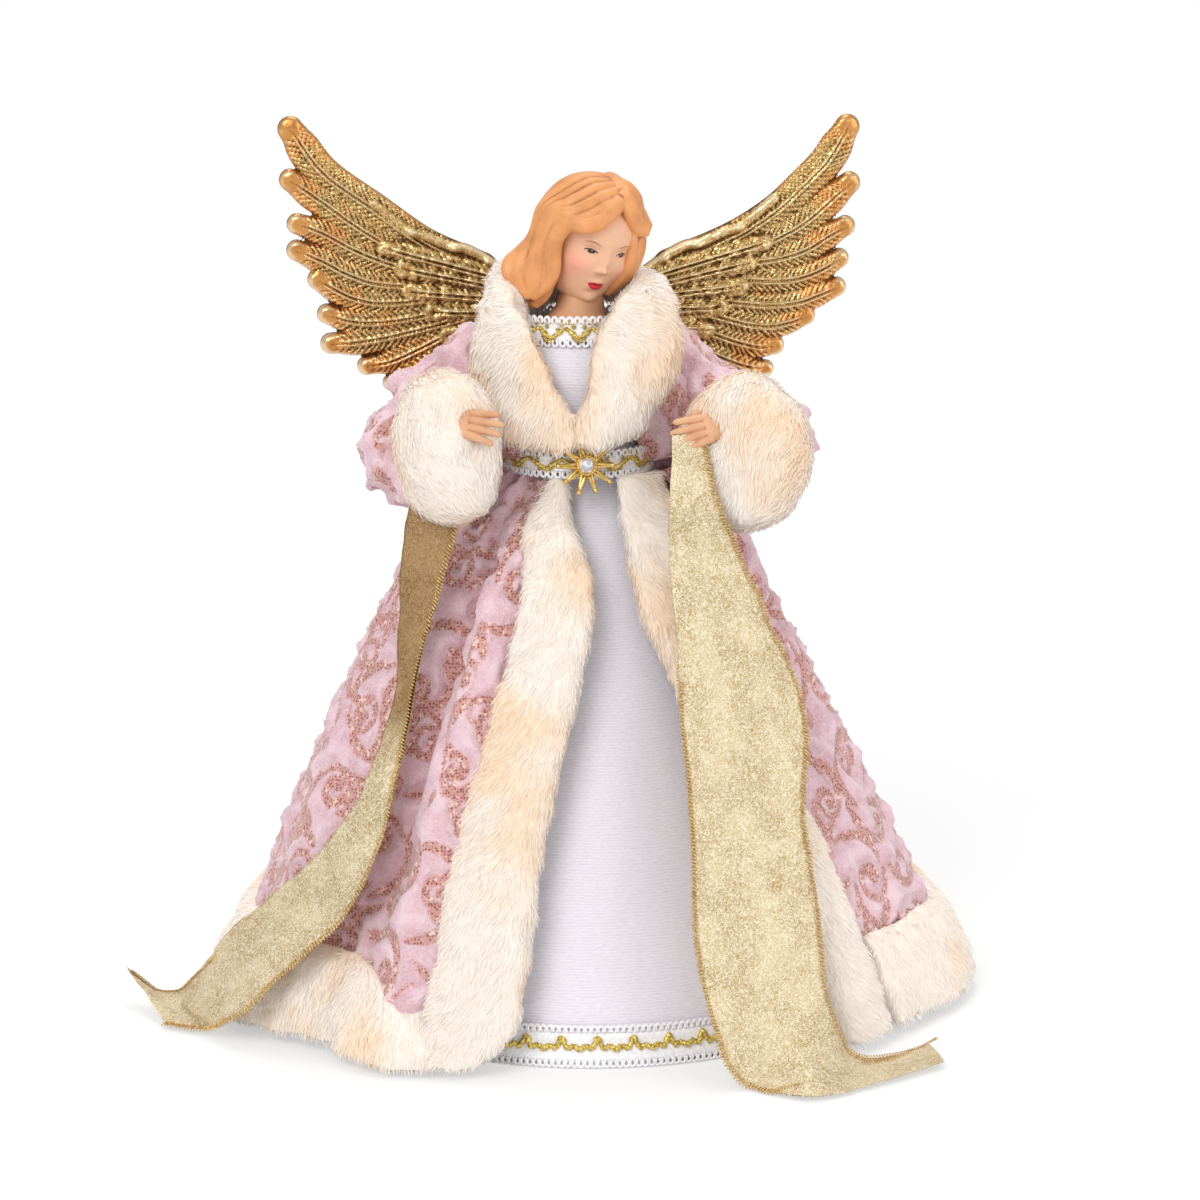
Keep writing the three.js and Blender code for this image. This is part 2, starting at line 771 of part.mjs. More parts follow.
function sleeveBarrels(arm, grow) {
  const shoulder = shoulderPoint(arm.side);
  const elbow = bodyPoint(arm.elbowShares);
  const wrist = bodyPoint(arm.wristShares);
  const reach = (table) => (share) => {
    const ripple = 1 + sleeveRippleShare * Math.sin(2 * Math.PI * sleeveRipples * share);
    const radius = sleeveRadius * ramp(table, share) * ripple + grow;
    return [radius, radius];
  };
  const down = elbow.clone().sub(shoulder).normalize();
  const fore = wrist.clone().sub(elbow).normalize();
  const over = sleeveRadius * elbowOverShare;
  const upperEnd = elbow.clone().addScaledVector(down, over);
  const foreStart = elbow.clone().addScaledVector(fore, -over);
  return [
    barrel(shoulder, upperEnd, v3(0, 1, 0), reach(upperSleeveShares), sleeveSides, sleeveSteps),
    barrel(foreStart, wrist, v3(0, 0, 1), reach(foreSleeveShares), sleeveSides, sleeveSteps),
    ballAt(shoulder, shoulderBallRadius + grow),
  ];
}

// A solid swung about an arm's shoulder, outwards for a positive angle
function swung(geometry, arm, turn) {
  const centre = shoulderPoint(arm.side);
  geometry.translate(-centre.x, -centre.y, -centre.z);
  geometry.rotateY(-arm.side * degToRad(turn));
  geometry.translate(centre.x, centre.y, centre.z);
  return geometry;
}

const swingSteps = shares(2).map((share) => share * armTurns);
const sweptSleeve = (name) => (
  swingSteps.map((turn) => swung(fuse(sleeveBarrels(arms[name], fitGap)), arms[name], turn))
);

const sleeveCutShare = 0.75;

function makeSleeve(arm) {
  const skirtCut = skin(heightsBetween(waistHeight * sleeveCutShare, coatTopHeight, coatRows).map((height) => (
    Array.from({ length: torsoStations * 2 }, (_, j) => {
      const angle = (fullTurn * j) / (torsoStations * 2);
      return polar(angle, coatRadius(angle, height) + 2 * fitGap, height);
    })
  )));
  const bodyCuts = swingSteps.flatMap((turn) => [
    filledTorso(coatBodiceOuter + fitGap, coatTopHeight - overrun, torsoTopHeight),
    neckTrimBlock(),
    shoulderWire(wireRadius + stubPlay),
  ].map((cutter) => swung(cutter, arm, -turn)));
  return carve(fuse(sleeveBarrels(arm, 0)), [
    skirtCut,
    ...bodyCuts,
    cuffBarrel(arm, fitGap),
    armWire(arm, wireRadius + fitGap),
  ]);
}

const cuffSwellShares = [
  [0, 0.55], [0.12, 0.82], [0.32, 0.98], [0.5, 1], [0.68, 0.98], [0.88, 0.82], [1, 0.55],
];

function cuffBarrel(arm, grow) {
  const centre = bodyPoint(arm.cuffShares);
  const from = centre.clone().addScaledVector(arm.cuffAxis, -cuffHalfLength - grow);
  const to = centre.clone().addScaledVector(arm.cuffAxis, cuffHalfLength + grow);
  return barrel(from, to, v3(0, 0, 1), (share) => {
    const swell = ramp(cuffSwellShares, share);
    return [cuffHalfDepth * arm.cuffWidthShare * swell + grow, cuffHalfHeight * swell + grow];
  }, cuffSides, cuffSteps);
}

function makeCuff(arm) {
  return carve(cuffBarrel(arm, 0), [armWire(arm, wireRadius + fitGap), ...handPieces(arm, fitGap)]);
}

const wristShare = 1.1;
const wireLeadShare = 0.25;
const wireSeatShare = 0.35;

function armWire(arm, radius) {
  const palm = bodyPoint(arm.handShares);
  const reach = (share) => palm.clone().addScaledVector(arm.cuffAxis, -palmLength * share);
  const points = [
    shoulderPoint(arm.side),
    bodyPoint(arm.elbowShares),
    bodyPoint(arm.wristShares),
    reach(wristShare + wireLeadShare),
    reach(wristShare - wireSeatShare),
  ];
  return roundWire(points, radius, armWireSteps);
}

// Hand: wrist, palm, four curved fingers and a thumb, joined into one casting. Palm: [share along,
// share of the width]; fingers: [place across the palm, share of the length, curl].
const palmShares = [[0, 0.75], [0.4, 1], [0.8, 1.02], [1, 0.8]];
const palmStartShare = -0.25;
const knuckleShare = 0.8;
const fingerShares = [[-0.37, 0.86, 0.25], [-0.12, 1, 0.3], [0.13, 0.95, 0.36], [0.38, 0.76, 0.42]];
const fingerFanShare = 0.12;
const thumbShares = [[0.1, -0.3, 0.1], [0.45, -0.6, 0.5], [0.9, -0.72, 0.9], [1.25, -0.66, 1.2]];

function handPieces(arm, grow) {
  const base = bodyPoint(arm.handShares);
  const aim = arm.handAim;
  const over = arm.palmNormal;
  const side = over.clone().cross(aim).normalize();
  side.multiplyScalar(-Math.sign(side.z));
  const spot = ([along, across, lift]) => base.clone()
    .addScaledVector(aim, along * palmLength)
    .addScaledVector(side, across * palmWidth)
    .addScaledVector(over, lift * palmThickness);
  const root = base.clone().addScaledVector(arm.cuffAxis, -palmLength * wristShare);
  const wristReach = [wristRadius + grow, wristRadius + grow];
  const wrist = barrel(root, spot([palmStartShare / 2, 0, 0]), over, () => wristReach, wristSides, 1);
  const palm = barrel(spot([palmStartShare, 0, 0]), spot([1, 0, 0]), over, (share) => {
    const swell = ramp(palmShares, share);
    return [palmWidth / 2 * swell + grow, palmThickness / 2 * swell + grow];
  }, palmSides, palmSteps);
  const fingers = fingerShares.map(([across, length, curl]) => {
    const reach = fingerLength * length;
    const points = shares(fingerSteps).map((share) => spot([knuckleShare, across, 0])
      .addScaledVector(aim, reach * share)
      .addScaledVector(side, across * palmWidth * share * fingerFanShare)
      .addScaledVector(over, reach * curl * share * share));
    return roundWire(points, fingerRadius + grow, fingerSteps, fingerSides);
  });
  const thumb = roundWire(thumbShares.map(spot), fingerRadius + grow, fingerSteps, fingerSides);
  return [wrist, palm, ...fingers, thumb];
}

const makeHand = (arm) => carve(fuse(handPieces(arm, 0)), [armWire(arm, wireRadius + fitGap)]);

// Ribbons: two edge lines of [x, y, z] shares; the sheet lies between them
const rightRibbonEdges = [
  [
    [0.17, -0.44, 1.07], [0.152, -0.545, 0.95], [0.167, -0.52, 0.86], [0.158, -0.69, 0.63],
    [0.156, -0.86, 0.39], [0.165, -0.955, 0.26], [0.205, -1.06, 0.1], [0.26, -1.06, 0.012],
    [0.4, -1.2, 0.008], [0.56, -1.13, 0.008], [0.78, -1.0, 0.014],
  ],
  [
    [0.26, -0.43, 1.07], [0.27, -0.52, 0.95], [0.32, -0.5, 0.85], [0.47, -0.53, 0.6],
    [0.474, -0.66, 0.47], [0.484, -0.76, 0.355], [0.495, -0.86, 0.23], [0.505, -0.965, 0.1],
    [0.55, -0.95, 0.03], [0.64, -0.85, 0.012], [0.76, -0.76, 0.014],
  ],
];
const leftRibbonEdges = [
  [
    [-0.48, -0.33, 0.97], [-0.53, -0.32, 0.84], [-0.545, -0.3, 0.72], [-0.548, -0.36, 0.62],
    [-0.565, -0.38, 0.56], [-0.6, -0.41, 0.49], [-0.68, -0.42, 0.4], [-0.77, -0.38, 0.32],
    [-0.86, -0.32, 0.24], [-0.96, -0.24, 0.13], [-1.05, -0.13, 0.045], [-1.14, -0.07, 0.03],
    [-1.213, -0.02, 0.064],
  ],
  [
    [-0.35, -0.38, 0.97], [-0.38, -0.37, 0.84], [-0.44, -0.36, 0.72], [-0.49, -0.42, 0.62],
    [-0.52, -0.46, 0.54], [-0.56, -0.5, 0.46], [-0.61, -0.55, 0.37], [-0.67, -0.58, 0.29],
    [-0.75, -0.58, 0.21], [-0.83, -0.55, 0.13], [-0.92, -0.5, 0.06], [-1.02, -0.4, 0.015],
    [-1.12, -0.31, 0.008],
  ],
];

// Moves a ribbon point out to where the coat, or the fur on its hem, would carry it
function onCoat(point) {
  const radius = Math.hypot(point.x, point.y);
  const angle = THREE.MathUtils.radToDeg(Math.atan2(point.x, -point.y));
  const fur = furProudHeight * (1 - smoothstep(point.z, furHemTop, furHemTop + furHemHeight / 2));
  const rest = bellRadius(angle, point.z) + coatFoldHeight + fur + ribbonThickness;
  const carried = Math.max(radius, rest);
  return point.multiply(v3(carried / radius, carried / radius, 1));
}

function makeRibbon(edges, arm) {
  const [near, far] = edges.map((list) => new THREE.CatmullRomCurve3(list.map(skirtPoint)));
  const rings = shares(ribbonStations).map((share) => {
    const a = onCoat(near.getPoint(share));
    const b = onCoat(far.getPoint(share));
    const along = near.getTangent(share).add(far.getTangent(share));
    const normal = b.clone().sub(a).cross(along).normalize().multiplyScalar(ribbonThickness / 2);
    const points = shares(2).map((across) => a.clone().lerp(b, across));
    return [
      ...points.map((point) => point.clone().add(normal)),
      ...points.map((point) => point.clone().sub(normal)).reverse(),
    ];
  });
  return carve(skin(rings), [cuffBarrel(arm, fitGap), ...handPieces(arm, fitGap)]);
}

// Wings: long feathers that fan from the root, short coverts over their bases
const featherTipShares = [
  [0.99, 1], [1.015, 0.715], [1, 0.54], [0.985, 0.389],
  [0.96, 0.246], [0.9, 0.087], [0.84, -0.052], [0.745, -0.202],
];
const featherRootShares = [
  [0.24, 0.266], [0.24, 0.226], [0.24, 0.185], [0.24, 0.144],
  [0.235, 0.103], [0.23, 0.063], [0.225, 0.022], [0.22, -0.019],
];
const featherSagShares = [0.19, 0.15, 0.13, 0.11, 0.1, 0.08, 0.06, 0.03];
const featherWidth = 12;
const coverts = 5;
const covertReachShare = 0.5;
const featherWidthShares = [[0, 0.55], [0.25, 0.95], [0.6, 1], [0.85, 0.84], [0.96, 0.5], [1, 0.14]];

function featherLine(root, tip, sag) {
  const middle = root.clone().add(tip).multiplyScalar(0.5);
  const away = tip.clone().sub(root);
  middle.add(new THREE.Vector2(away.y, -away.x).multiplyScalar(sag));
  return new THREE.QuadraticBezierCurve(root, middle, tip);
}

function bladeAlong(line, width, steps) {
  const edge = (sign) => shares(steps).map((share) => {
    const tangent = line.getTangent(share);
    const half = sign * (width / 2) * ramp(featherWidthShares, share);
    return line.getPoint(share).add(new THREE.Vector2(-tangent.y, tangent.x).multiplyScalar(half));
  });
  return new THREE.Shape([...edge(1), ...edge(-1).reverse()]);
}

function plate(shape, depth, front) {
  const geometry = new THREE.ExtrudeGeometry(shape, { depth, bevelEnabled: false, curveSegments: 6 });
  geometry.rotateX(Math.PI / 2);
  geometry.translate(0, front + depth, 0);
  return geometry;
}

function makeWing(side) {
  const place = ([x, z]) => new THREE.Vector2(x * wingHalfSpan, wingRootHeight + z * wingRise);
  const feather = (root, tip, sag, width, front, steps) => {
    const line = featherLine(root, tip, sag);
    return plate(bladeAlong(line, width, steps), featherThickness, front);
  };
  const pieces = [];
  featherTipShares.forEach((tipShare, k) => {
    const front = wingSetback + k * featherStep - featherTipShares.length * featherStep / 2;
    const root = place(featherRootShares[k]);
    pieces.push(feather(root, place(tipShare), featherSagShares[k], featherWidth, front, featherSteps));
  });
  for (let k = 0; k < coverts; k += 1) {
    const row = (k + 1) * (featherTipShares.length - 1) / coverts;
    const root = place(featherRootShares[Math.floor(row)]);
    const tip = root.clone().lerp(place(featherTipShares[Math.floor(row)]), covertReachShare);
    const front = wingSetback - featherThickness - k * featherStep;
    pieces.push(feather(root, tip, featherSagShares[k], featherWidth, front, covertSteps));
  }
  pieces.push(wingTongue());
  const wing = fuse(pieces);
  return side < 0 ? mirrored(wing) : wing;
}

// Flat root that carries the feathers and plugs into the block
const wingTongueOuterShare = 0.3;

function wingTongue(grow = 0) {
  const outer = wingTongueOuterShare * wingHalfSpan;
  const low = wingBlockBase + (wingBlockHeight - wingTongueHeight) / 2;
  const shape = new THREE.Shape([
    new THREE.Vector2(wingTongueReach - grow, low - grow),
    new THREE.Vector2(outer + grow, low - grow),
    new THREE.Vector2(outer + grow, low + wingTongueHeight + grow),
    new THREE.Vector2(wingTongueReach - grow, low + wingTongueHeight + grow),
  ]);
  const depth = featherThickness * 2 + 2 * grow;
  return plate(shape, depth, wingSetback - featherThickness - grow);
}

function makeWingBlock() {
  const block = new THREE.BoxGeometry(wingBlockWidth, wingBlockDepth, wingBlockHeight);
  block.translate(0, wingBlockFront + wingBlockDepth / 2, wingBlockBase + wingBlockHeight / 2);
  const slot = wingTongue(fitGap);
  const back = filledTorso(coatBodiceOuter + fitGap, waistTrimBase, wingBlockBase + wingBlockHeight + overrun);
  return carve(block, [slot, mirrored(slot), back]);
}

// Head and hair, modelled looking along -Y, then tilted, nodded and turned
function poseHead(geometry) {
  geometry.rotateY(degToRad(headTilt));
  geometry.rotateX(degToRad(headNod));
  geometry.rotateZ(degToRad(headTurn));
  geometry.translate(-headOffset, -headForward, headCentreHeight);
  return geometry;
}

const faceShares = [
  [-1, 0.3], [-0.9, 0.52], [-0.7, 0.7], [-0.4, 0.86], [0, 0.97], [0.35, 1], [0.7, 0.8], [0.9, 0.5], [1, 0.25],
];
const noseProud = 2.6;
const browProud = 1;
const lipProud = 1.1;
const chinProud = 1.6;
const eyeHollow = 1.2;

// [angle, level, spread in degrees, spread in levels, rise in mm]
const faceFeatures = [
  [0, -0.22, 9, 0.13, noseProud],
  [0, 0.02, 8, 0.16, noseProud / 2],
  [0, 0.2, 40, 0.14, browProud],
  [0, -0.55, 16, 0.08, lipProud],
  [0, -0.86, 20, 0.14, chinProud],
  [-24, 0, 11, 0.1, -eyeHollow],
  [24, 0, 11, 0.1, -eyeHollow],
];

function headSolid(grow) {
  const rings = shares(headLevels).map((share) => {
    const level = lerp(-1, 1, share);
    const width = ramp(faceShares, level);
    return Array.from({ length: headSides }, (_, j) => {
      const angle = (fullTurn * j) / headSides;
      const away = angle > fullTurn / 2 ? angle - fullTurn : angle;
      const features = faceFeatures.reduce((sum, [at, rise, spreadAngle, spreadLevel, height]) => (
        sum + height * Math.exp(-(((away - at) / spreadAngle) ** 2) - (((level - rise) / spreadLevel) ** 2))
      ), 0);
      const radius = ellipseRadius(angle, skullHalfWidth * width, skullHalfDepth * lerp(width, 1, 0.25));
      return polar(angle, radius + features + grow, level * (headHeight / 2 + grow));
    });
  });
  return poseHead(skin(rings));
}

const neckInShare = 0.2;

function neckSolid(grow) {
  const low = torsoTopHeight - neckSocketDepth + fitGap - grow;
  const centres = [
    v3(-torsoOffset, -torsoForward, low),
    v3(-torsoOffset, -torsoForward, torsoTopHeight + fitGap),
    v3(-headOffset, -headForward, headCentreHeight - headHeight * neckInShare),
  ];
  return skin(centres.map((centre) => (
    ovalRing(centre, v3(1, 0, 0), v3(0, 1, 0), neckRadius + grow, neckRadius + grow, socketSides)
  )));
}

const makeHead = () => fuse([headSolid(0), neckSolid(0)]);

// Hair: a cap over the skull, and locks along paths of points given as shares of the skull's half sizes
const skullPoint = ([x, y, z]) => v3(x * skullHalfWidth, y * skullHalfDepth, z * headHeight / 2);
const hairCapShares = [[0, 0.12, 0.16], [1, 1, 0.81]];
const faceWindowShares = [[0, -1.15, -0.25], [0.84, 1, 1.02]];
const hairLocks = [
  {
    path: [[-0.35, -0.3, 0.7], [-0.88, 0.1, 0.05], [-1.3, 0.2, -0.45], [-1.6, 0.2, -0.72]],
    widths: [[0, 0.35], [0.4, 0.5], [1, 0.36]],
  },
  {
    path: [[-0.9, 0.2, -0.2], [-1.3, 0.2, -0.6], [-1.5, 0.1, -0.9], [-1.3, 0, -1.12]],
    widths: [[0, 0.5], [0.6, 0.5], [1, 0.16]],
  },
  {
    path: [[0.25, -0.66, 0.8], [-0.4, -0.76, 0.62], [-0.95, -0.45, 0.22], [-1.2, -0.1, -0.5]],
    widths: [[0, 0.12], [0.5, 0.26], [1, 0.36]],
  },
  {
    path: [[0.25, -0.66, 0.8], [0.75, -0.6, 0.5], [0.98, -0.35, 0.08], [1.02, -0.15, -0.38]],
    widths: [[0, 0.12], [0.5, 0.26], [1, 0.2]],
  },
  {
    path: [[0, 0.6, 0.4], [0, 0.75, -0.3], [0, 0.62, -0.95]],
    widths: [[0, 0.6], [0.5, 0.85], [1, 0.5]],
  },
];

const oval = ([centre, reach], grow, sides, levels) => {
  const ball = new THREE.SphereGeometry(1, sides, levels);
  const size = skullPoint(reach);
  ball.rotateX(Math.PI / 2);
  ball.scale(size.x + grow, size.y + grow, size.z + grow);
  ball.translate(...skullPoint(centre));
  return poseHead(ball);
};

function hairLock({ path, widths }, grow) {
  const line = new THREE.CatmullRomCurve3(path.map(skullPoint));
  return poseHead(skin(shares(hairLockSteps).map((share) => {
    const along = line.getTangentAt(share);
    const across = v3(0, 1, 0).cross(along).normalize();
    const reach = skullHalfWidth * slope(widths, share) + grow;
    const centre = line.getPointAt(share).addScaledVector(along, grow * (2 * share - 1));
    return ovalRing(centre, across, along.clone().cross(across), reach, reach, hairLockSides);
  })));
}

const hairSolids = (grow) => [
  oval(hairCapShares, hairThickness + grow, hairCapSides, hairCapLevels),
  ...hairLocks.map((lock) => hairLock(lock, grow)),
];

function makeHair() {
  const [cap, ...locks] = hairSolids(0);
  const open = carve(cap, [oval(faceWindowShares, 0, hairCapSides, hairCapLevels)]);
  return carve(fuse([open, ...locks]), [headSolid(fitGap), neckSolid(fitGap), neckTrimBlock()]);
}

const finishes = {
  card: [0xc9b79a, 0.9, 0],
  foam: [0xe9e4dc, 0.9, 0],
  knit: [0xe9e4ec, 0.95, 0],
  galloon: [0xb8962e, 0.5, 0.6],
  goldMetal: [0xc9a24a, 0.3, 1],
  stone: [0xf4f6fa, 0.05, 0],
  plush: [0xddbec8, 1, 0],
  fur: [0xf6e6d0, 1, 0],
  wire: [0x9a9a9a, 0.4, 1],
  skin: [0xe0ae88, 0.6, 0],
  hair: [0xe8a86c, 0.6, 0],
  ribbon: [0xd9c58f, 0.4, 0.4],
  wing: [0xb9853f, 0.35, 0.8],
};

const topper = new THREE.Group();

function add(name, finish, geometry) {
  const [color, roughness, metalness] = finishes[finish];
  const mesh = new THREE.Mesh(geometry, new THREE.MeshStandardMaterial({ color, roughness, metalness }));
  mesh.name = name;
  topper.add(mesh);
}

add('cone_core', 'card', makeCone());
add('torso_form', 'foam', makeTorso());
add('shoulder_wire', 'wire', shoulderWire(wireRadius));
add('dress_skirt', 'knit', makeDressSkirt());
add('dress_bodice', 'knit', makeDressBodice());
add('neck_trim', 'galloon', makeNeckTrim());
add('waist_trim', 'galloon', makeWaistTrim());
add('hem_trim', 'galloon', makeHemTrim());
add('star_brooch', 'goldMetal', makeBrooch());
add('brooch_stone', 'stone', makeStone());
add('coat_skirt', 'plush', makeCoatSkirt());
add('coat_bodice', 'plush', makeCoatBodice());
add('fur_collar', 'fur', makeCollar());
add('fur_front_left', 'fur', makeLeftFrontFur());
add('fur_front_right', 'fur', makeRightFrontFur());
add('fur_hem', 'fur', makeFurHem());
for (const [name, arm] of Object.entries(arms)) {
  add(`${name}_sleeve`, 'plush', makeSleeve(arm));
  add(`${name}_cuff`, 'fur', makeCuff(arm));
  add(`${name}_arm_wire`, 'wire', armWire(arm, wireRadius));
  add(`${name}_hand`, 'skin', makeHand(arm));
}
add('left_ribbon', 'ribbon', makeRibbon(leftRibbonEdges, arms.left));
add('right_ribbon', 'ribbon', makeRibbon(rightRibbonEdges, arms.right));
add('left_wing', 'wing', makeWing(-1));
add('right_wing', 'wing', makeWing(1));
add('wing_block', 'foam', makeWingBlock());
add('head', 'skin', makeHead());
add('hair', 'hair', makeHair());

export default topper;
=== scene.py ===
"""Angel tree topper: knit gown, embossed plush coat with fur edges, feathered wings and wired ribbons.

Lengths in this file are in millimetres until a mesh is made, and in metres in Blender.
Angles round the figure are in degrees from its front, positive towards +X.
"""

import math

import bmesh
import bpy
import numpy as np
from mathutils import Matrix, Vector, noise
from mathutils.kdtree import KDTree


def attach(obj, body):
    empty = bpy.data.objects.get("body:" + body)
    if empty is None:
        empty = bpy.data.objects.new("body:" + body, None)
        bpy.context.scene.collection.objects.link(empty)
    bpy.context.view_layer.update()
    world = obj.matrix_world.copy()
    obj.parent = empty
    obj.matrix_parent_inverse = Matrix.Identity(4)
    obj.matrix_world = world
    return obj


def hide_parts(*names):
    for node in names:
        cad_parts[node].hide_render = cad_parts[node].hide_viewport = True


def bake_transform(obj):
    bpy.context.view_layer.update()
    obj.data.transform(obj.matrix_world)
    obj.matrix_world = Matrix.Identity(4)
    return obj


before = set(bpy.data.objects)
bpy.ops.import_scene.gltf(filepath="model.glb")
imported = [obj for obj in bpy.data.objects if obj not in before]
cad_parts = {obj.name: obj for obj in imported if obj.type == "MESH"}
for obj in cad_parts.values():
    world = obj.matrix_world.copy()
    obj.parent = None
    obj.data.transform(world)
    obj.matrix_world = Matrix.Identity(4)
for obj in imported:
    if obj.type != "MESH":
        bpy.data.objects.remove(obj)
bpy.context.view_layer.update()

MM = 0.001

# Camera, from the photograph's own perspective
CAMERA_PLACE = (-0.1688, -1.1616, 0.3848)
CAMERA_TARGET = (0.00267, -0.00039, 0.13535)
CAMERA_LENS = 104.76
SENSOR_WIDTH = 36

# Sizes shared with the solids
CONE_HEIGHT = 185
CONE_HEM_RADIUS = 94
CONE_TOP_RADIUS = 17
WAIST_HEIGHT = 187
HEM_HALF_WIDTH = 133
HEM_HALF_DEPTH = 112
COAT_WAIST_RADIUS = 27
HIP_FLARE_LEFT = 23
HIP_FLARE_RIGHT = 12
COAT_TOP = 183.5
COAT_FOLD = 5.5
COAT_CLOTH = 2.4
FUR_PROUD = 6
FUR_INSET = 4
FUR_HEM_TOP = 33.6
FRONT_FUR_WIDTH = 24
TORSO_CENTRE = (-5, -3)
TORSO_BASE = 185
TORSO_TOP = 232
TORSO_HALF_WIDTH = 24
TORSO_HALF_DEPTH = 19.5
TRIM_GAP = 0.35
GOWN_CLOTH = 1.2


# Shapes shared with the solids


def smooth(value, low, high):
    """0 before low, 1 after high, and an eased climb between them."""
    t = np.clip((np.asarray(value, float) - low) / (high - low), 0, 1)
    return t * t * (3 - 2 * t)


def hump(away, width):
    """1 where away is 0, with a soft fall to 0 over about twice the width."""
    return np.exp(-((away / width) ** 2))


def apart(angle, at):
    """Degrees from one angle round to the other, between -180 and 180."""
    return (np.asarray(angle, float) - at + 540) % 360 - 180


def eased(pairs, share):
    """Value at a share, with an eased run between each two [share, value] pairs."""
    at, value = np.array(pairs, float).T
    share = np.asarray(share, float)
    k = np.clip(np.searchsorted(at, share) - 1, 0, len(at) - 2)
    t = np.clip((share - at[k]) / (at[k + 1] - at[k]), 0, 1)
    t = t * t * (3 - 2 * t)
    return value[k] + (value[k + 1] - value[k]) * t


def straight(pairs, share):
    """Value at a share, with a straight run between each two [share, value] pairs."""
    at, value = np.array(pairs, float).T
    return np.interp(share, at, value)


def ellipse_radius(angle, half_width, half_depth):
    turn = np.radians(angle)
    return 1 / np.hypot(np.sin(turn) / half_width, np.cos(turn) / half_depth)


def polar(angle, radius, height, centre=(0, 0)):
    turn = np.radians(angle)
    angle, radius, height = np.broadcast_arrays(angle, radius, height)
    return np.stack(
        [centre[0] + radius * np.sin(turn), centre[1] - radius * np.cos(turn), height + 0.0 * radius],
        axis=-1,
    )


def drop_share(height):
    return (WAIST_HEIGHT - np.asarray(height, float)) / WAIST_HEIGHT


COAT_FOLDS = (
    (-44, 1, 6), (-57, -0.9, 7), (-75, 0.5, 9), (-98, -0.4, 8), (-120, 0.7, 9), (-140, -0.6, 8),
    (-160, 0.8, 9), (180, -0.5, 8), (160, 0.8, 9), (138, -0.6, 9), (116, 0.6, 9), (95, -0.35, 8),
    (74, 0.4, 9), (56, -0.3, 7),
)
LEFT_INNER_EDGE = ((0.02, -25), (0.21, -6), (0.37, -10), (0.53, -14), (0.66, -17), (0.8, -17.6), (1, -19))
LEFT_OUTER_EDGE = ((0.05, -42), (0.21, -35), (0.37, -33), (0.66, -35), (0.8, -34), (1, -33))
RIGHT_INNER_EDGE = ((0.02, 6.6), (0.21, 8), (0.38, 18.7), (0.7, 34), (0.93, 36), (1, 36))


def bell_radius(angle, height):
    """The coat without its folds."""
    drop = drop_share(height)
    flare = np.where(np.sin(np.radians(angle)) < 0, HIP_FLARE_LEFT, HIP_FLARE_RIGHT)
    hip = smooth(drop, 0, 0.12)
    widest = COAT_WAIST_RADIUS + flare * hip
    half_width = widest + (HEM_HALF_WIDTH - widest) * drop - flare * (1 - hip) * drop
    half_depth = COAT_WAIST_RADIUS + (HEM_HALF_DEPTH - COAT_WAIST_RADIUS) * drop
    half_depth = half_depth + FUR_INSET * hip * (1 - drop)
    return ellipse_radius(angle, half_width, half_depth)


def coat_radius(angle, height):
    drop = drop_share(height)
    folds = 0
    for at, rise, width in COAT_FOLDS:
        folds = folds + rise * hump(apart(angle, at), width)
    growth = smooth(drop, 0, 0.4) * (0.4 + 0.6 * drop)
    return bell_radius(angle, height) + COAT_FOLD * folds * growth


def left_outer(height):
    return eased(LEFT_OUTER_EDGE, drop_share(height))


def left_inner(height):
    return eased(LEFT_INNER_EDGE, drop_share(height))


def right_inner(height):
    return eased(RIGHT_INNER_EDGE, drop_share(height))


def right_outer(height):
    inner = right_inner(height)
    return inner + np.degrees(FRONT_FUR_WIDTH / coat_radius(inner, height))


def cone_radius(height):
    return CONE_HEM_RADIUS + (CONE_TOP_RADIUS - CONE_HEM_RADIUS) * np.asarray(height, float) / CONE_HEIGHT


def gown_radius(height):
    return cone_radius(height) + TRIM_GAP + GOWN_CLOTH


TORSO_OUTLINE = ((0, 0.78, 0.9), (0.3, 0.88, 1), (0.62, 1, 1), (0.86, 0.96, 0.86), (1, 0.72, 0.66))


def torso_point(angle, height, grow):
    share = np.clip((np.asarray(height, float) - TORSO_BASE) / (TORSO_TOP - TORSO_BASE), 0, 1)
    width = TORSO_HALF_WIDTH * straight([row[:2] for row in TORSO_OUTLINE], share) + grow
    depth = TORSO_HALF_DEPTH * straight([(row[0], row[2]) for row in TORSO_OUTLINE], share) + grow
    return polar(angle, ellipse_radius(angle, width, depth), height, TORSO_CENTRE)


def cat_rom(points, count):
    """Evenly spaced points on a smooth curve through the given points."""
    points = np.array(points, float)
    padded = np.vstack([2 * points[0] - points[1], points, 2 * points[-1] - points[-2]])
    runs = []
    for k in range(len(points) - 1):
        a, b, c, d = padded[k : k + 4]
        t = np.linspace(0, 1, 24, endpoint=k == len(points) - 2)[:, None]
        runs.append(
            0.5 * (2 * b + (c - a) * t + (2 * a - 5 * b + 4 * c - d) * t**2 + (3 * b - a - 3 * c + d) * t**3)
        )
    return resampled(np.vstack(runs), count)


def resampled(line, count):
    step = np.linalg.norm(np.diff(line, axis=0), axis=1)
    along = np.concatenate([[0], np.cumsum(step)])
    wanted = np.linspace(0, along[-1], count)
    return np.stack([np.interp(wanted, along, line[:, k]) for k in range(line.shape[1])], axis=-1)


def unit(vectors):
    return vectors / np.maximum(np.linalg.norm(vectors, axis=-1, keepdims=True), 1e-12)


def lattice(low, high, rows, start, end, columns, closed=False):
    """Heights and angles of a grid of points; a closed grid stops one step before its end angle."""
    around = np.linspace(start, end, columns, endpoint=not closed)
    return np.meshgrid(np.linspace(low, high, rows), around, indexing="ij")


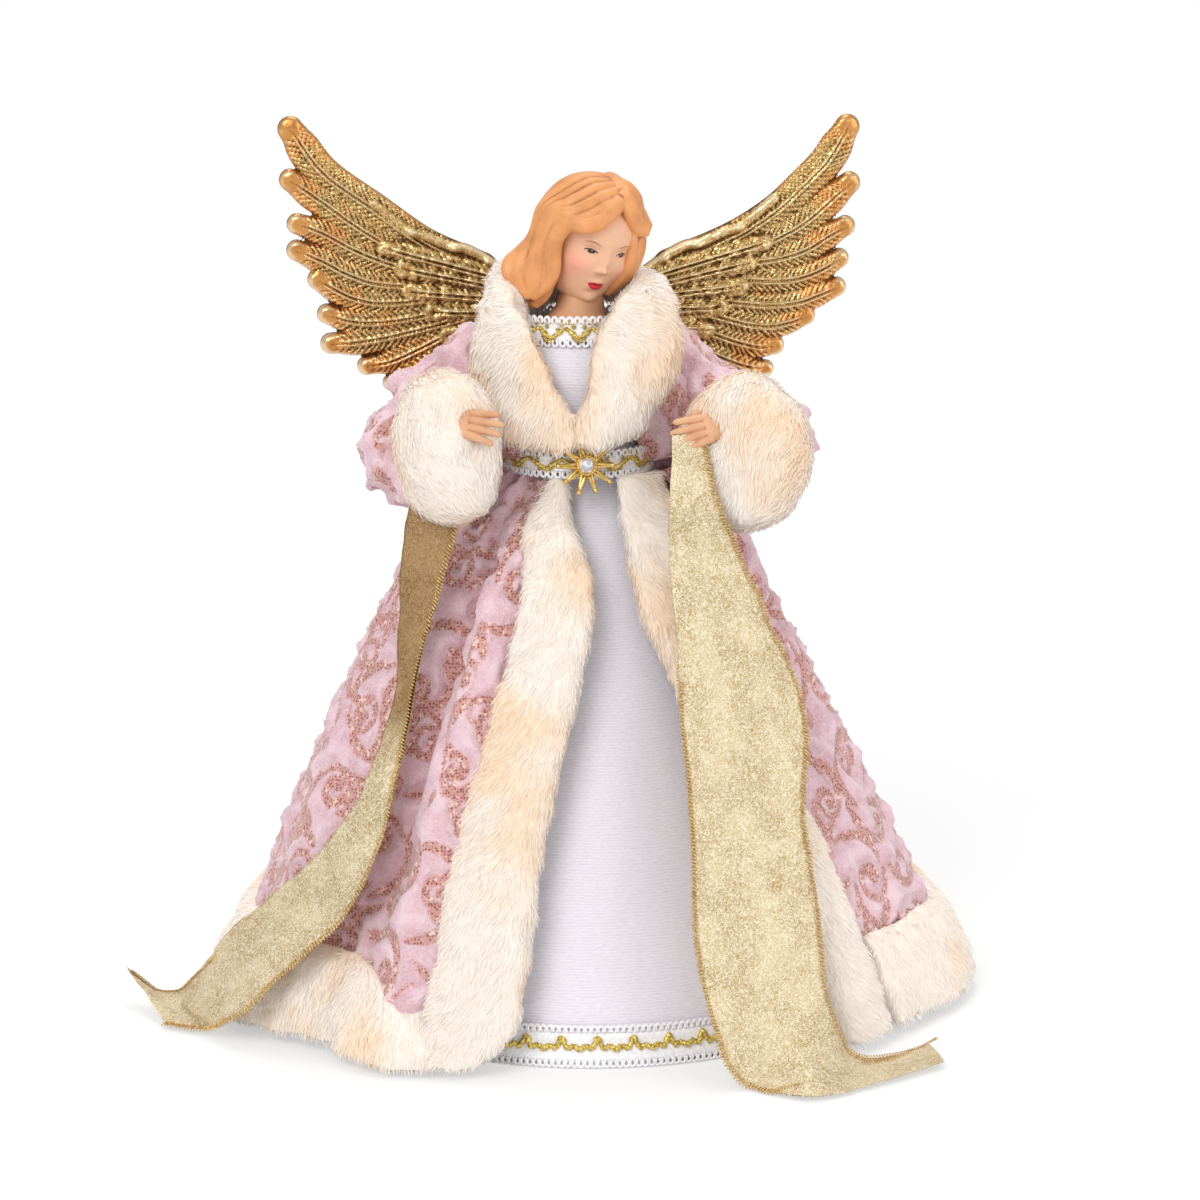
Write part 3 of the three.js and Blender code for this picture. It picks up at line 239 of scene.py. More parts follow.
def waves(points, size, seed=0, octaves=2):
    """Smooth noise from -1 to 1 at each point, for features of about that size in millimetres."""
    shift = Vector((17.3 * seed, -9.1 * seed, 5.7 * seed))
    flat = np.asarray(points, float).reshape(-1, 3) / size
    return np.array(
        [noise.fractal(Vector(p) + shift, 1.0, 2.0, octaves) for p in flat]
    ).reshape(np.shape(points)[:-1])


# Meshes


def linked(name, data):
    made = bpy.data.objects.new(name, data)
    bpy.context.scene.collection.objects.link(made)
    return made


def place(made, body, node=None):
    """Gives a piece its body, and hides the solid that it stands for."""
    if node:
        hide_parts(node)
    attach(made, body)
    return made


def mesh_object(name, points, faces, material, smooth_faces=True):
    """A piece from points in millimetres and faces of three or four corners."""
    mesh = bpy.data.meshes.new(name)
    mesh.from_pydata((np.asarray(points, float) * MM).tolist(), [], [list(map(int, f)) for f in faces])
    mesh.polygons.foreach_set("use_smooth", [smooth_faces] * len(mesh.polygons))
    if material:
        mesh.materials.append(material)
    mesh.update()
    return linked(name, mesh)


def grid_faces(rows, columns, wrap_rows=False, wrap_columns=False):
    """Corners of the quads of a grid, whose rows or columns may close on themselves."""
    r = np.arange(rows if wrap_rows else rows - 1)
    c = np.arange(columns if wrap_columns else columns - 1)
    r, c = np.meshgrid(r, c, indexing="ij")
    r2, c2 = (r + 1) % rows, (c + 1) % columns
    quads = np.stack([r * columns + c, r * columns + c2, r2 * columns + c2, r2 * columns + c], axis=-1)
    return quads.reshape(-1, 4)


def sheet_object(name, points, material, uv=None, wrap_columns=False, wrap_rows=False):
    """A sheet from a grid of points; uv is in millimetres."""
    rows, columns = points.shape[:2]
    faces = grid_faces(rows, columns, wrap_rows=wrap_rows, wrap_columns=wrap_columns)
    made = mesh_object(name, points.reshape(-1, 3), faces, material)
    mesh = made.data
    if uv is not None:
        layer = mesh.uv_layers.new(name="cloth")
        corner = np.empty(len(mesh.loops), int)
        mesh.loops.foreach_get("vertex_index", corner)
        layer.data.foreach_set("uv", (uv.reshape(-1, 2) * MM)[corner].astype(np.float32).ravel())
    return made


def capped(rings, ends):
    """Points and faces of a closed skin over rings of points, with a fan to a point at each end."""
    count, sides = rings.shape[:2]
    faces = [tuple(f) for f in grid_faces(count, sides, wrap_columns=True)]
    start, last = count * sides, (count - 1) * sides
    for k in range(sides):
        faces.append((start, (k + 1) % sides, k))
        faces.append((start + 1, last + k, last + (k + 1) % sides))
    return np.concatenate([rings.reshape(-1, 3), ends]), faces


def tube_parts(line, radius, sides=8, closed=False, up=(0, 0, 1), flat=1.0):
    """Points and faces of a tube along a line; radius is one number or one for each point, flat its
    height towards up as a share of its width."""
    line = np.asarray(line, float)
    count = len(line)
    radius = np.broadcast_to(radius, count)[:, None, None]
    ahead = np.roll(line, -1, axis=0) - np.roll(line, 1, axis=0)
    if not closed:
        ahead[0], ahead[-1] = line[1] - line[0], line[-1] - line[-2]
    ahead = unit(ahead)
    side = unit(np.cross(ahead, np.broadcast_to(np.array(up, float), ahead.shape)) + 1e-9)
    over = np.cross(side, ahead)[:, None]
    turn = np.linspace(0, 2 * np.pi, sides, endpoint=False)[None, :, None]
    ring = line[:, None] + radius * np.cos(turn) * side[:, None] + flat * radius * np.sin(turn) * over
    if closed:
        faces = grid_faces(count, sides, wrap_rows=True, wrap_columns=True)
        return ring.reshape(-1, 3), [tuple(f) for f in faces]
    return capped(ring, [line[0], line[-1]])


def joined(parts):
    """Several (points, faces) as one."""
    points, faces, start = [], [], 0
    for p, f in parts:
        points.append(np.asarray(p, float))
        faces.extend(tuple(i + start for i in face) for face in f)
        start += len(p)
    return np.vstack(points), faces


def outward(made, merge=0.0):
    """Turns the faces of a closed mesh outwards, once points within a distance in mm are merged."""
    work = bmesh.new()
    work.from_mesh(made.data)
    if merge:
        bmesh.ops.remove_doubles(work, verts=work.verts, dist=merge * MM)
    bmesh.ops.recalc_face_normals(work, faces=work.faces)
    work.to_mesh(made.data)
    work.free()
    return made


def node_copy(name, node, material, voxel, rounds):
    """A piece with the form of a solid: its mesh merged, remeshed at a voxel size in mm, and smoothed."""
    made = outward(linked(name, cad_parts[node].data.copy()), merge=0.02)
    made.data.materials.clear()
    made.data.materials.append(material)
    return remeshed(made, voxel, rounds)


def remeshed(made, voxel, rounds=2):
    """The piece with an even skin of one voxel size in mm, smoothed in some rounds."""
    remesh = made.modifiers.new("remesh", "REMESH")
    remesh.mode = "VOXEL"
    remesh.voxel_size = voxel * MM
    remesh.use_smooth_shade = True
    relax = made.modifiers.new("relax", "SMOOTH")
    relax.iterations = rounds
    relax.factor = 0.5
    return baked(made)


def baked(made):
    """The same object with its modifiers turned into plain mesh."""
    depsgraph = bpy.context.evaluated_depsgraph_get()
    mesh = bpy.data.meshes.new_from_object(made.evaluated_get(depsgraph))
    old = made.data
    made.modifiers.clear()
    made.data = mesh
    mesh.name = made.name
    if old.users == 0:
        bpy.data.meshes.remove(old)
    return made


def points_of(made):
    """Points of a mesh in millimetres, and their normals."""
    rows = []
    for key in ("co", "normal"):
        row = np.empty(len(made.data.vertices) * 3, np.float32)
        made.data.vertices.foreach_get(key, row)
        rows.append(row.reshape(-1, 3).astype(float))
    return rows[0] / MM, rows[1]


def set_points(made, points):
    made.data.vertices.foreach_set("co", (points * MM).astype(np.float32).ravel())
    made.data.update()


def set_values(made, name, values, kind="FLOAT"):
    key = "vector" if kind == "FLOAT_VECTOR" else "color" if kind == "FLOAT_COLOR" else "value"
    attribute = made.data.attributes.get(name) or made.data.attributes.new(name, kind, "POINT")
    attribute.data.foreach_set(key, np.asarray(values, np.float32).ravel())


def set_hollows(made, rounds):
    """Writes how far each point lies below its smoothed surroundings, in mm, for painted shade there."""
    points, normals = points_of(made)
    ends = np.empty(len(made.data.edges) * 2, np.int32)
    made.data.edges.foreach_get("vertices", ends)
    a, b = ends.reshape(-1, 2).T
    joins = np.bincount(np.concatenate([a, b]), minlength=len(points))[:, None]
    soft = points.copy()
    for _ in range(rounds):
        total = np.zeros_like(soft)
        np.add.at(total, a, soft[b])
        np.add.at(total, b, soft[a])
        soft = total / np.maximum(joins, 1)
    set_values(made, "hollow", np.sum((soft - points) * normals, axis=-1))


# Node helpers


def add_node(tree, kind, inputs=None, **settings):
    """Adds a node with its settings; each input gets a value or another node's output."""
    made = tree.nodes.new(kind)
    for name, value in settings.items():
        setattr(made, name, value)
    for key, value in (inputs or {}).items():
        socket = made.inputs[key]
        if isinstance(value, bpy.types.NodeSocket):
            tree.links.new(value, socket)
        else:
            socket.default_value = value
    return made


def srgb(code):
    """Linear colour of an sRGB hex value."""
    parts = [int(code[k : k + 2], 16) / 255 for k in (1, 3, 5)]
    return tuple(c / 12.92 if c <= 0.04045 else ((c + 0.055) / 1.055) ** 2.4 for c in parts) + (1.0,)


def new_material(name, shader_inputs):
    """A material with one Principled shader; returns it with its tree and its shader."""
    material = bpy.data.materials.new(name)
    material.use_nodes = True
    tree = material.node_tree
    shader = tree.nodes["Principled BSDF"]
    for key, value in shader_inputs.items():
        shader.inputs[key].default_value = value
    return material, tree, shader


def blend_colour(tree, factor, low, high, mode="MIX"):
    """Colour between two others; each may be a hex value or an output."""
    mix = add_node(tree, "ShaderNodeMix", data_type="RGBA", blend_type=mode)
    for key, value in ((0, factor), (6, low), (7, high)):
        if isinstance(value, bpy.types.NodeSocket):
            tree.links.new(value, mix.inputs[key])
        else:
            mix.inputs[key].default_value = srgb(value) if isinstance(value, str) else value
    return mix.outputs[2]


def finished(made, colour, relief=None, strength=0.0, distance=0.0, **inputs):
    """Links colour, other inputs and relief, whose distance is in millimetres, and returns the material."""
    material, tree, shader = made
    for name, value in {"Base Color": colour, **inputs}.items():
        tree.links.new(value, shader.inputs[name])
    if relief:
        bump = add_node(
            tree, "ShaderNodeBump", {"Height": relief, "Strength": strength, "Distance": distance * MM}
        )
        tree.links.new(bump.outputs[0], shader.inputs["Normal"])
    return material


def two_tone(name, inputs, noise_of, span, low, high, strength=0.0, distance=0.0):
    """A material whose tone wanders between two colours with fine noise, which is its relief too."""
    made = new_material(name, inputs)
    uneven = object_noise(made[1], *noise_of)
    colour = blend_colour(made[1], stepped(made[1], uneven, *span), low, high)
    return finished(made, colour, uneven if strength else None, strength, distance)


def object_noise(tree, size, detail=2.0, seed=0.0, where=None):
    """Noise on Object coordinates whose features are about size millimetres across."""
    if where is None:
        where = add_node(tree, "ShaderNodeTexCoord").outputs["Object"]
    shifted = add_node(tree, "ShaderNodeVectorMath", {0: where, 1: (seed, seed, seed)}, operation="ADD")
    return add_node(
        tree, "ShaderNodeTexNoise", {"Vector": shifted.outputs[0], "Scale": 1 / (size * MM), "Detail": detail}
    ).outputs["Fac"]


def stepped(tree, value, low, high, to_low=0.0, to_high=1.0):
    """Eased climb from to_low to to_high as value goes from low to high."""
    return add_node(
        tree,
        "ShaderNodeMapRange",
        {"Value": value, "From Min": low, "From Max": high, "To Min": to_low, "To Max": to_high},
        interpolation_type="SMOOTHSTEP",
    ).outputs[0]


def sums(tree, operation, a, b=0.5):
    return add_node(tree, "ShaderNodeMath", {0: a, 1: b}, operation=operation).outputs[0]


def attribute_of(tree, name, output="Fac"):
    return add_node(tree, "ShaderNodeAttribute", attribute_name=name).outputs[output]


# Finishes


def faux_fur():
    """Polyester faux fur: a soft, matt pile in cream, with warmer painted shade in soft areas where it is
    brushed the other way and low down in the pile.
    """
    made = new_material("polyester_faux_fur", {"Roughness": 1.0, "Specular IOR Level": 0.05})
    tree = made[1]
    # Warmer cream in soft areas: painted shade of pile brushed the other way
    patches = stepped(tree, object_noise(tree, 34, 1.5, 0.11), 0.44, 0.7)
    colour = blend_colour(tree, patches, "#F7F0E9", "#F8E0C4")
    # Warmer, darker cream low on each tuft and on the skin beneath: painted shade deep in the pile
    roots = stepped(tree, attribute_of(tree, "rise"), 0.0, 0.6, 0.25, 0.0)
    colour = blend_colour(tree, roots, colour, "#F8E3CA")
    strands = stepped(tree, attribute_of(tree, "shade"), 0.0, 1.0, 0.0, 0.35)
    return finished(made, blend_colour(tree, strands, colour, "#FAF4EE"))


def embossed_plush():
    """Polyester plush burnt out to its net in scrolls: velvety raised pile, copper in the holes, and painted
    highlights in small spots on the copper and the thread.
    """
    made = new_material(
        "embossed_polyester_plush",
        {"Roughness": 0.85, "Specular IOR Level": 0.2, "Sheen Weight": 0.5, "Sheen Roughness": 0.4},
    )
    tree = made[1]
    net = stepped(tree, attribute_of(tree, "net"), -0.5, 0.7, 1.0, 0.0)
    where = add_node(tree, "ShaderNodeTexCoord").outputs["Object"]
    nap = object_noise(tree, 7, 3.0, 0.2, where)
    pile = blend_colour(tree, stepped(tree, nap, 0.35, 0.7), "#D8AFB9", "#EACBD4")
    fibre = object_noise(tree, 0.9, 2.0, 0.5, where)
    pile = blend_colour(tree, stepped(tree, fibre, 0.35, 0.7, 0.0, 0.35), pile, "#F0DCE2")
    # Mesh holes 0.5 mm across, 1 mm apart
    holes = add_node(
        tree, "ShaderNodeTexVoronoi", {"Vector": where, "Scale": 1 / (1.0 * MM), "Randomness": 0.6},
        voronoi_dimensions="3D",
    ).outputs["Distance"]
    dots = stepped(tree, holes, 0.25, 0.5, 0.9, 0.0)
    # Lighter copper and thread in small spots: painted highlights
    painted_glint = stepped(tree, object_noise(tree, 2.2, 2.0, 0.7, where), 0.55, 0.68)
    copper = blend_colour(tree, painted_glint, "#96503E", "#CF8A70")
    thread = blend_colour(tree, painted_glint, "#D2A09A", "#F6D8CC")
    colour = blend_colour(tree, net, pile, blend_colour(tree, dots, thread, copper))
    metal = sums(tree, "MULTIPLY", sums(tree, "MULTIPLY", net, dots), 0.35)
    raised = sums(tree, "MULTIPLY", holes, 0.8)
    tufted = add_node(tree, "ShaderNodeMix", {0: net, 2: fibre, 3: raised}).outputs[0]
    rough = stepped(tree, metal, 0.0, 0.3, 0.85, 0.45)
    return finished(made, colour, tufted, 0.8, 0.9, Metallic=metal, Roughness=rough)


def knit():
    """Polyester knit: fine horizontal stitch rows 1 mm apart, pale with a lilac cast."""
    made = new_material(
        "polyester_knit", {"Roughness": 0.85, "Specular IOR Level": 0.25, "Sheen Weight": 0.15}
    )
    tree = made[1]
    cloth = add_node(tree, "ShaderNodeUVMap", uv_map="cloth").outputs[0]
    up = add_node(tree, "ShaderNodeSeparateXYZ", {0: cloth}).outputs["Y"]
    row = sums(tree, "ADD", up, sums(tree, "MULTIPLY", object_noise(tree, 9, 2.0, 0.3), 0.9 * MM))
    rows = sums(tree, "SINE", sums(tree, "MULTIPLY", row, 2 * math.pi / (1.0 * MM)))
    # Stitches 1.7 mm wide and 0.65 mm tall
    size = (1 / (1.7 * MM), 1 / (0.65 * MM), 1)
    stitch = add_node(tree, "ShaderNodeMapping", {"Vector": cloth, "Scale": size}).outputs[0]
    loops = add_node(
        tree, "ShaderNodeTexNoise", {"Vector": stitch, "Scale": 1.0, "Detail": 1.0}
    ).outputs["Fac"]
    relief = sums(tree, "ADD", sums(tree, "MULTIPLY", rows, 0.16), sums(tree, "MULTIPLY", loops, 1.2))
    # Darker lilac where the stitch relief is low: painted shade between the stitches
    colour = blend_colour(tree, stepped(tree, relief, 0.2, 0.9, 0.65, 0.0), "#EDE9F0", "#DAD3E0")
    return finished(made, colour, relief, 0.5, 0.35)


def metallic_ribbon():
    """Wired metallic ribbon: champagne weave with a fine crushed glitter drawn as thin painted highlight
    lines, gold overlocked edges.
    """
    made = new_material(
        "woven_metallic_ribbon", {"Roughness": 0.5, "Metallic": 0.3, "Specular IOR Level": 0.4}
    )
    tree = made[1]
    where = add_node(tree, "ShaderNodeTexCoord").outputs["Object"]
    # Crushed lines 1.2 mm apart
    worm = add_node(
        tree,
        "ShaderNodeTexNoise",
        {"Vector": where, "Scale": 1 / (1.2 * MM), "Detail": 2.0, "Distortion": 1.6},
    ).outputs["Fac"]
    ridge = sums(tree, "ABSOLUTE", sums(tree, "SUBTRACT", worm, 0.5))
    # Thin near-white lines along the crush ridges: painted highlights
    bright = stepped(tree, ridge, 0.0, 0.09, 1.0, 0.0)
    cloudy = object_noise(tree, 12, 2.0, 0.9, where)
    base = blend_colour(tree, stepped(tree, cloudy, 0.4, 0.65), "#B49B6C", "#CBB68C")
    colour = blend_colour(tree, sums(tree, "MULTIPLY", bright, 0.8), base, "#FBF2DA")
    # Browner where the weave's back shows above the left ribbon's twist, which is also painted shade
    colour = blend_colour(tree, attribute_of(tree, "reverse"), colour, "#BFA68A", mode="MULTIPLY")
    spark = stepped(tree, worm, 0.52, 0.66, 0.55, 0.3)
    return finished(made, colour, worm, 0.35, 0.4, Roughness=spark)


def gold_thread():
    """Metallised thread, overlocked or braided: warm gold, darker in fine spots of painted shade for the gaps
    between its turns.
    """
    return two_tone(
        "metallised_gold_thread", {"Roughness": 0.42, "Metallic": 0.55}, (0.9, 2.0, 0.4), (0.35, 0.65),
        "#C0954A", "#F0D292", 0.6, 0.4,
    )


def gold_braid():
    """Gold braid of the galloon: greener, brighter gold than the ribbon's thread."""
    return two_tone(
        "metallised_gold_braid", {"Roughness": 0.34, "Metallic": 0.6}, (0.8, 2.0, 0.6), (0.35, 0.65),
        "#B08F34", "#EFD97C", 0.7, 0.4,
    )


def white_braid():
    """White rayon galloon: looped cords, soft gloss, faint grey painted shade between the cords."""
    return two_tone(
        "white_rayon_braid", {"Roughness": 0.6, "Specular IOR Level": 0.35, "Sheen Weight": 0.1},
        (1.1, 2.0, 0.8), (0.35, 0.6), "#F0EEF4", "#FDFCFE", 0.6, 0.5,
    )


def plated_gold():
    """Gold-plated zinc casting: polished, with a little tarnish in its corners."""
    made = new_material("plated_gold", {"Roughness": 0.24, "Metallic": 0.9})
    tree = made[1]
    worn = object_noise(tree, 1.8, 3.0, 0.2)
    colour = blend_colour(tree, stepped(tree, worn, 0.4, 0.7), "#EBCB80", "#C9A150")
    return finished(made, colour, Roughness=stepped(tree, worn, 0.3, 0.8, 0.18, 0.4))


def crystal():
    """Cut glass stone with a foil back: clear white sparkle from facet to facet, painted as grey and white
    spots in its colour.
    """
    return two_tone(
        "foiled_glass_stone", {"Roughness": 0.04, "Metallic": 0.35, "Specular IOR Level": 0.8, "IOR": 1.55},
        (1.4, 0.0, 0.3), (0.42, 0.58), "#C9CCD6", "#FFFFFF",
    )


# Light goes a few millimetres into soft vinyl, red the furthest
VINYL = {
    "Specular IOR Level": 0.4, "Subsurface Weight": 0.08, "Subsurface Radius": (0.003, 0.0014, 0.0008),
    "Subsurface Scale": 0.5,
}


def painted_vinyl(name, tone, shade, roughness, seed):
    """Moulded vinyl with a thin matt paint: slightly uneven, with painted shade in its hollows."""
    made = new_material(name, {"Roughness": roughness, **VINYL})
    tree = made[1]
    uneven = object_noise(tree, 8, 3.0, seed)
    colour = blend_colour(tree, stepped(tree, uneven, 0.35, 0.75, 0.0, 0.35), tone, shade)
    # Darker in the hollows: painted shade
    hollow_shade = stepped(tree, attribute_of(tree, "hollow"), 0.0, 0.3, 0.0, 0.85)
    colour = blend_colour(tree, hollow_shade, colour, shade)
    return finished(made, colour, object_noise(tree, 0.5, 1.0, seed), 0.08, 0.2)


def greyboard():
    """Rolled greyboard: fibrous, matt, a little darker in its specks."""
    return two_tone(
        "rolled_greyboard", {"Roughness": 0.95, "Specular IOR Level": 0.15}, (1.5, 4.0, 0.1), (0.3, 0.7),
        "#BFAE92", "#D3C5AC", 0.3, 0.3,
    )


def white_foam():
    """Expanded polystyrene: white beads 2.6 mm across with fine dents between them."""
    made = new_material("expanded_polystyrene", {"Roughness": 0.8})
    tree = made[1]
    where = add_node(tree, "ShaderNodeTexCoord").outputs["Object"]
    beads = add_node(
        tree, "ShaderNodeTexVoronoi", {"Vector": where, "Scale": 1 / (2.6 * MM)}, feature="F1"
    ).outputs["Distance"]
    # Greyer away from each bead's middle, in the dents between beads: painted shade
    colour = blend_colour(tree, stepped(tree, beads, 0.35, 0.7), "#F1EEE8", "#D8D4CC")
    return finished(made, colour, beads, 0.4, -0.4)


def steel_wire():
    """Annealed steel wire: grey, half matt, drawn along its length."""
    made = new_material("annealed_steel_wire", {"Roughness": 0.4, "Metallic": 1.0})
    drawn = object_noise(made[1], 0.8, 3.0, 0.1)
    return finished(made, blend_colour(made[1], drawn, "#8C8C8E", "#B2B2B4"))


# Repeats made by Geometry Nodes


def open_tree(name, inputs):
    """A Geometry Nodes tree with a geometry input and output and named inputs; returns its parts."""
    tree = bpy.data.node_groups.new(name, "GeometryNodeTree")
    tree.interface.new_socket("Geometry", in_out="INPUT", socket_type="NodeSocketGeometry")
    keys = {}
    for label, kind in inputs:
        socket = tree.interface.new_socket(label, in_out="INPUT", socket_type=kind)
        keys[label] = socket.identifier
    tree.interface.new_socket("Geometry", in_out="OUTPUT", socket_type="NodeSocketGeometry")
    source = tree.nodes.new("NodeGroupInput")
    end = tree.nodes.new("NodeGroupOutput")
    return tree, keys, source.outputs, end.inputs[0]


def random_number(tree, low, high, seed):
    inputs = {2: low, 3: high, "Seed": seed}
    return add_node(tree, "FunctionNodeRandomValue", inputs, data_type="FLOAT").outputs[1]


def fur_tree():
    """Tufts scattered over a skin, each leaning as the skin's comb says."""
    tree, keys, given, end = open_tree(
        "fur_pile",
        (
            ("Tuft", "NodeSocketObject"),
            ("Density", "NodeSocketFloat"),
            ("Length", "NodeSocketFloat"),
            ("Seed", "NodeSocketInt"),
            ("Pile", "NodeSocketMaterial"),
        ),
    )
    spread = add_node(
        tree,
        "GeometryNodeDistributePointsOnFaces",
        {"Mesh": given["Geometry"], "Density": given["Density"], "Seed": given["Seed"]},
        distribute_method="RANDOM",
    )
    comb = add_node(tree, "GeometryNodeInputNamedAttribute", {"Name": "comb"}, data_type="FLOAT_VECTOR")
    lean = add_node(
        tree, "FunctionNodeAlignRotationToVector", {"Vector": comb.outputs["Attribute"]}, axis="Z"
    ).outputs[0]
    lean = add_node(
        tree,
        "FunctionNodeAlignRotationToVector",
        {"Rotation": lean, "Vector": spread.outputs["Normal"]},
        axis="X",
        pivot_axis="Z",
    ).outputs[0]
    spin = add_node(
        tree,
        "FunctionNodeAxisAngleToRotation",
        {"Axis": (0, 0, 1), "Angle": random_number(tree, -0.6, 0.6, 3)},
    ).outputs[0]
    turned = add_node(
        tree,
        "FunctionNodeRotateRotation",
        {"Rotation": lean, "Rotate By": spin},
        rotation_space="LOCAL",
    ).outputs[0]
    size = sums(tree, "MULTIPLY", given["Length"], random_number(tree, 0.65, 1.15, 5))
    tuft = add_node(
        tree, "GeometryNodeObjectInfo", {"Object": given["Tuft"], "As Instance": True}
    ).outputs["Geometry"]
    placed = add_node(
        tree,
        "GeometryNodeInstanceOnPoints",
        {"Points": spread.outputs["Points"], "Instance": tuft, "Rotation": turned, "Scale": size},
    ).outputs[0]
    placed = add_node(
        tree,
        "GeometryNodeStoreNamedAttribute",
        {"Geometry": placed, "Name": "shade", "Value": random_number(tree, 0.0, 1.0, 9)},
        data_type="FLOAT",
        domain="INSTANCE",
    ).outputs[0]
    both = add_node(tree, "GeometryNodeJoinGeometry")
    tree.links.new(placed, both.inputs[0])
    tree.links.new(given["Geometry"], both.inputs[0])
    real = add_node(tree, "GeometryNodeRealizeInstances", {"Geometry": both.outputs[0]}).outputs[0]
    done = add_node(tree, "GeometryNodeSetMaterial", {"Geometry": real, "Material": given["Pile"]}).outputs[0]
    tree.links.new(done, end)
    return tree, keys


def row_tree():
    """Copies of a small item along a line, turned with it; the line's points say which way is out."""
    tree, keys, given, end = open_tree(
        "row_along_line",
        (
            ("Item", "NodeSocketObject"),
            ("Spacing", "NodeSocketFloat"),
            ("Size", "NodeSocketFloat"),
            ("Finish", "NodeSocketMaterial"),
        ),
    )
    line = add_node(tree, "GeometryNodeMeshToCurve", {"Mesh": given["Geometry"]}).outputs[0]
    even = add_node(
        tree, "GeometryNodeResampleCurve", {"Curve": line, "Length": given["Spacing"]}, mode="LENGTH"
    ).outputs[0]
    out = add_node(tree, "GeometryNodeInputNamedAttribute", {"Name": "out"}, data_type="FLOAT_VECTOR")
    facing = add_node(
        tree, "FunctionNodeAlignRotationToVector", {"Vector": out.outputs["Attribute"]}, axis="Z"
    ).outputs[0]
    along = add_node(tree, "GeometryNodeInputTangent").outputs[0]
    turned = add_node(
        tree,
        "FunctionNodeAlignRotationToVector",
        {"Rotation": facing, "Vector": along},
        axis="X",
        pivot_axis="Z",
    ).outputs[0]
    item = add_node(
        tree, "GeometryNodeObjectInfo", {"Object": given["Item"], "As Instance": True}
    ).outputs["Geometry"]
    placed = add_node(
        tree,
        "GeometryNodeInstanceOnPoints",
        {"Points": even, "Instance": item, "Rotation": turned, "Scale": given["Size"]},
    ).outputs[0]
    real = add_node(tree, "GeometryNodeRealizeInstances", {"Geometry": placed}).outputs[0]
    done = add_node(
        tree, "GeometryNodeSetMaterial", {"Geometry": real, "Material": given["Finish"]}
    ).outputs[0]
    tree.links.new(done, end)
    return tree, keys


def run_tree(made, tree_and_keys, values):
    """Runs a tree on a piece and keeps the result as its mesh."""
    tree, keys = tree_and_keys
    modifier = made.modifiers.new(tree.name, "NODES")
    modifier.node_group = tree
    for label, value in values.items():
        modifier[keys[label]] = value
    return baked(made)


def row_of(name, line, out, item, spacing, finish, closed=False):
    """A row of one item along a line, as a piece; out is the way the items face at each point."""
    line = np.asarray(line, float)
    edges = [(k, k + 1) for k in range(len(line) - 1)] + ([(len(line) - 1, 0)] if closed else [])
    mesh = bpy.data.meshes.new(name)
    mesh.from_pydata((line * MM).tolist(), edges, [])
    made = linked(name, mesh)
    set_values(made, "out", np.broadcast_to(out, line.shape), "FLOAT_VECTOR")
    made = run_tree(made, ROWS, {"Item": item, "Spacing": spacing * MM, "Size": 1.0, "Finish": finish})
    made.data.polygons.foreach_set("use_smooth", [True] * len(made.data.polygons))
    return made


def tuft_item():
    """One tuft, a metre long until it is scaled: flat, tapered and bent over, its broad side along X."""
    points, ring = [], [(0.2, 0.0), (-0.1, 1.0), (-0.1, -1.0)]
    for height, reach, over in ((0, 0.05, 0), (0.55, 0.05, 0.03)):
        points += [(over + reach * x, reach * y, height) for x, y in ring]
    points.append((-0.08, 0, 1.0))
    faces = [(k, (k + 1) % 3, 3 + (k + 1) % 3, 3 + k) for k in range(3)]
    faces += [(3 + k, 3 + (k + 1) % 3, 6) for k in range(3)]
    made = mesh_object("tuft_item", np.array(points) / MM, faces, None, smooth_faces=False)
    set_values(made, "rise", [0] * 3 + [0.55] * 3 + [1])
    return made


def loop_item(name, reach, height, thread, sides=5, steps=9):
    """A small standing loop of thread, as in a picot edge."""
    turn = np.linspace(-0.35 * np.pi, 1.35 * np.pi, steps)
    line = np.stack([reach * np.cos(turn), height * (0.8 + np.sin(turn)) / 1.8, 0 * turn], axis=-1)
    return mesh_object(name, *tube_parts(line, thread, sides), None)


def stitch_item(name, width, thread, lean=0.5):
    """One overlock stitch: a short arch of thread across an edge."""
    turn = np.linspace(0, np.pi, 6)
    across = width / 2 * np.cos(turn)
    line = np.stack([lean * across, across, thread * (0.4 + 1.3 * np.sin(turn))], axis=-1)
    return mesh_object(name, *tube_parts(line, thread, 4, up=(1, 0, 0)), None)


# Fur


def fur_piece(name, node, body, flow, fill, settings, seed, arrange=None):
    """A fur roll: the solid's form drawn in and clumped, with pile over it combed along flow.

    settings are the inset and the pile's length in mm and the tufts to the mm2; arrange moves its points.
    """
    inset, length, density = settings
    made = node_copy(name, node, FUR, 2.2, rounds=3)
    if arrange:
        set_points(made, arrange(points_of(made)[0]))
    points, normals = points_of(made)
    clumps = 1.1 * waves(points, 9, seed) - inset + 0.9 * waves(points, 22, seed + 5)
    set_points(made, points + normals * clumps[:, None])
    points, normals = points_of(made)
    comb = flow(points, normals)
    for size, first in ((5.5, 20), (13, 30)):
        comb = comb + 0.4 * np.stack([waves(points, size, seed + first + k, 1) for k in range(3)], axis=-1)
    comb = comb - normals * np.sum(comb * normals, axis=-1, keepdims=True)
    set_values(made, "comb", unit(unit(comb) + 0.36 * normals), "FLOAT_VECTOR")
    set_values(made, "rise", np.full(len(points), 0.1))
    set_values(made, "shade", np.full(len(points), 0.3))
    share = 1.0
    made = run_tree(
        made,
        PILE,
        {"Tuft": TUFT, "Density": share * density / MM**2, "Length": length * MM, "Seed": seed, "Pile": FUR},
    )
    place(made, body, node)


def downwards(points, normals):
    down = np.zeros_like(points)
    down[:, 2] = -1
    return down


def off_the_edge(side):
    """Pile that lies down and a little towards the front opening."""

    def flow(points, normals):
        around = np.stack([-points[:, 1], points[:, 0], 0 * points[:, 0]], axis=-1)
        return unit(downwards(points, normals) + 0.5 * side * unit(around))

    return flow


def away_from_neck(points, normals):
    out = points - np.array([TORSO_CENTRE[0], TORSO_CENTRE[1], 236])
    return unit(out * np.array([1, 1, 1.4]))


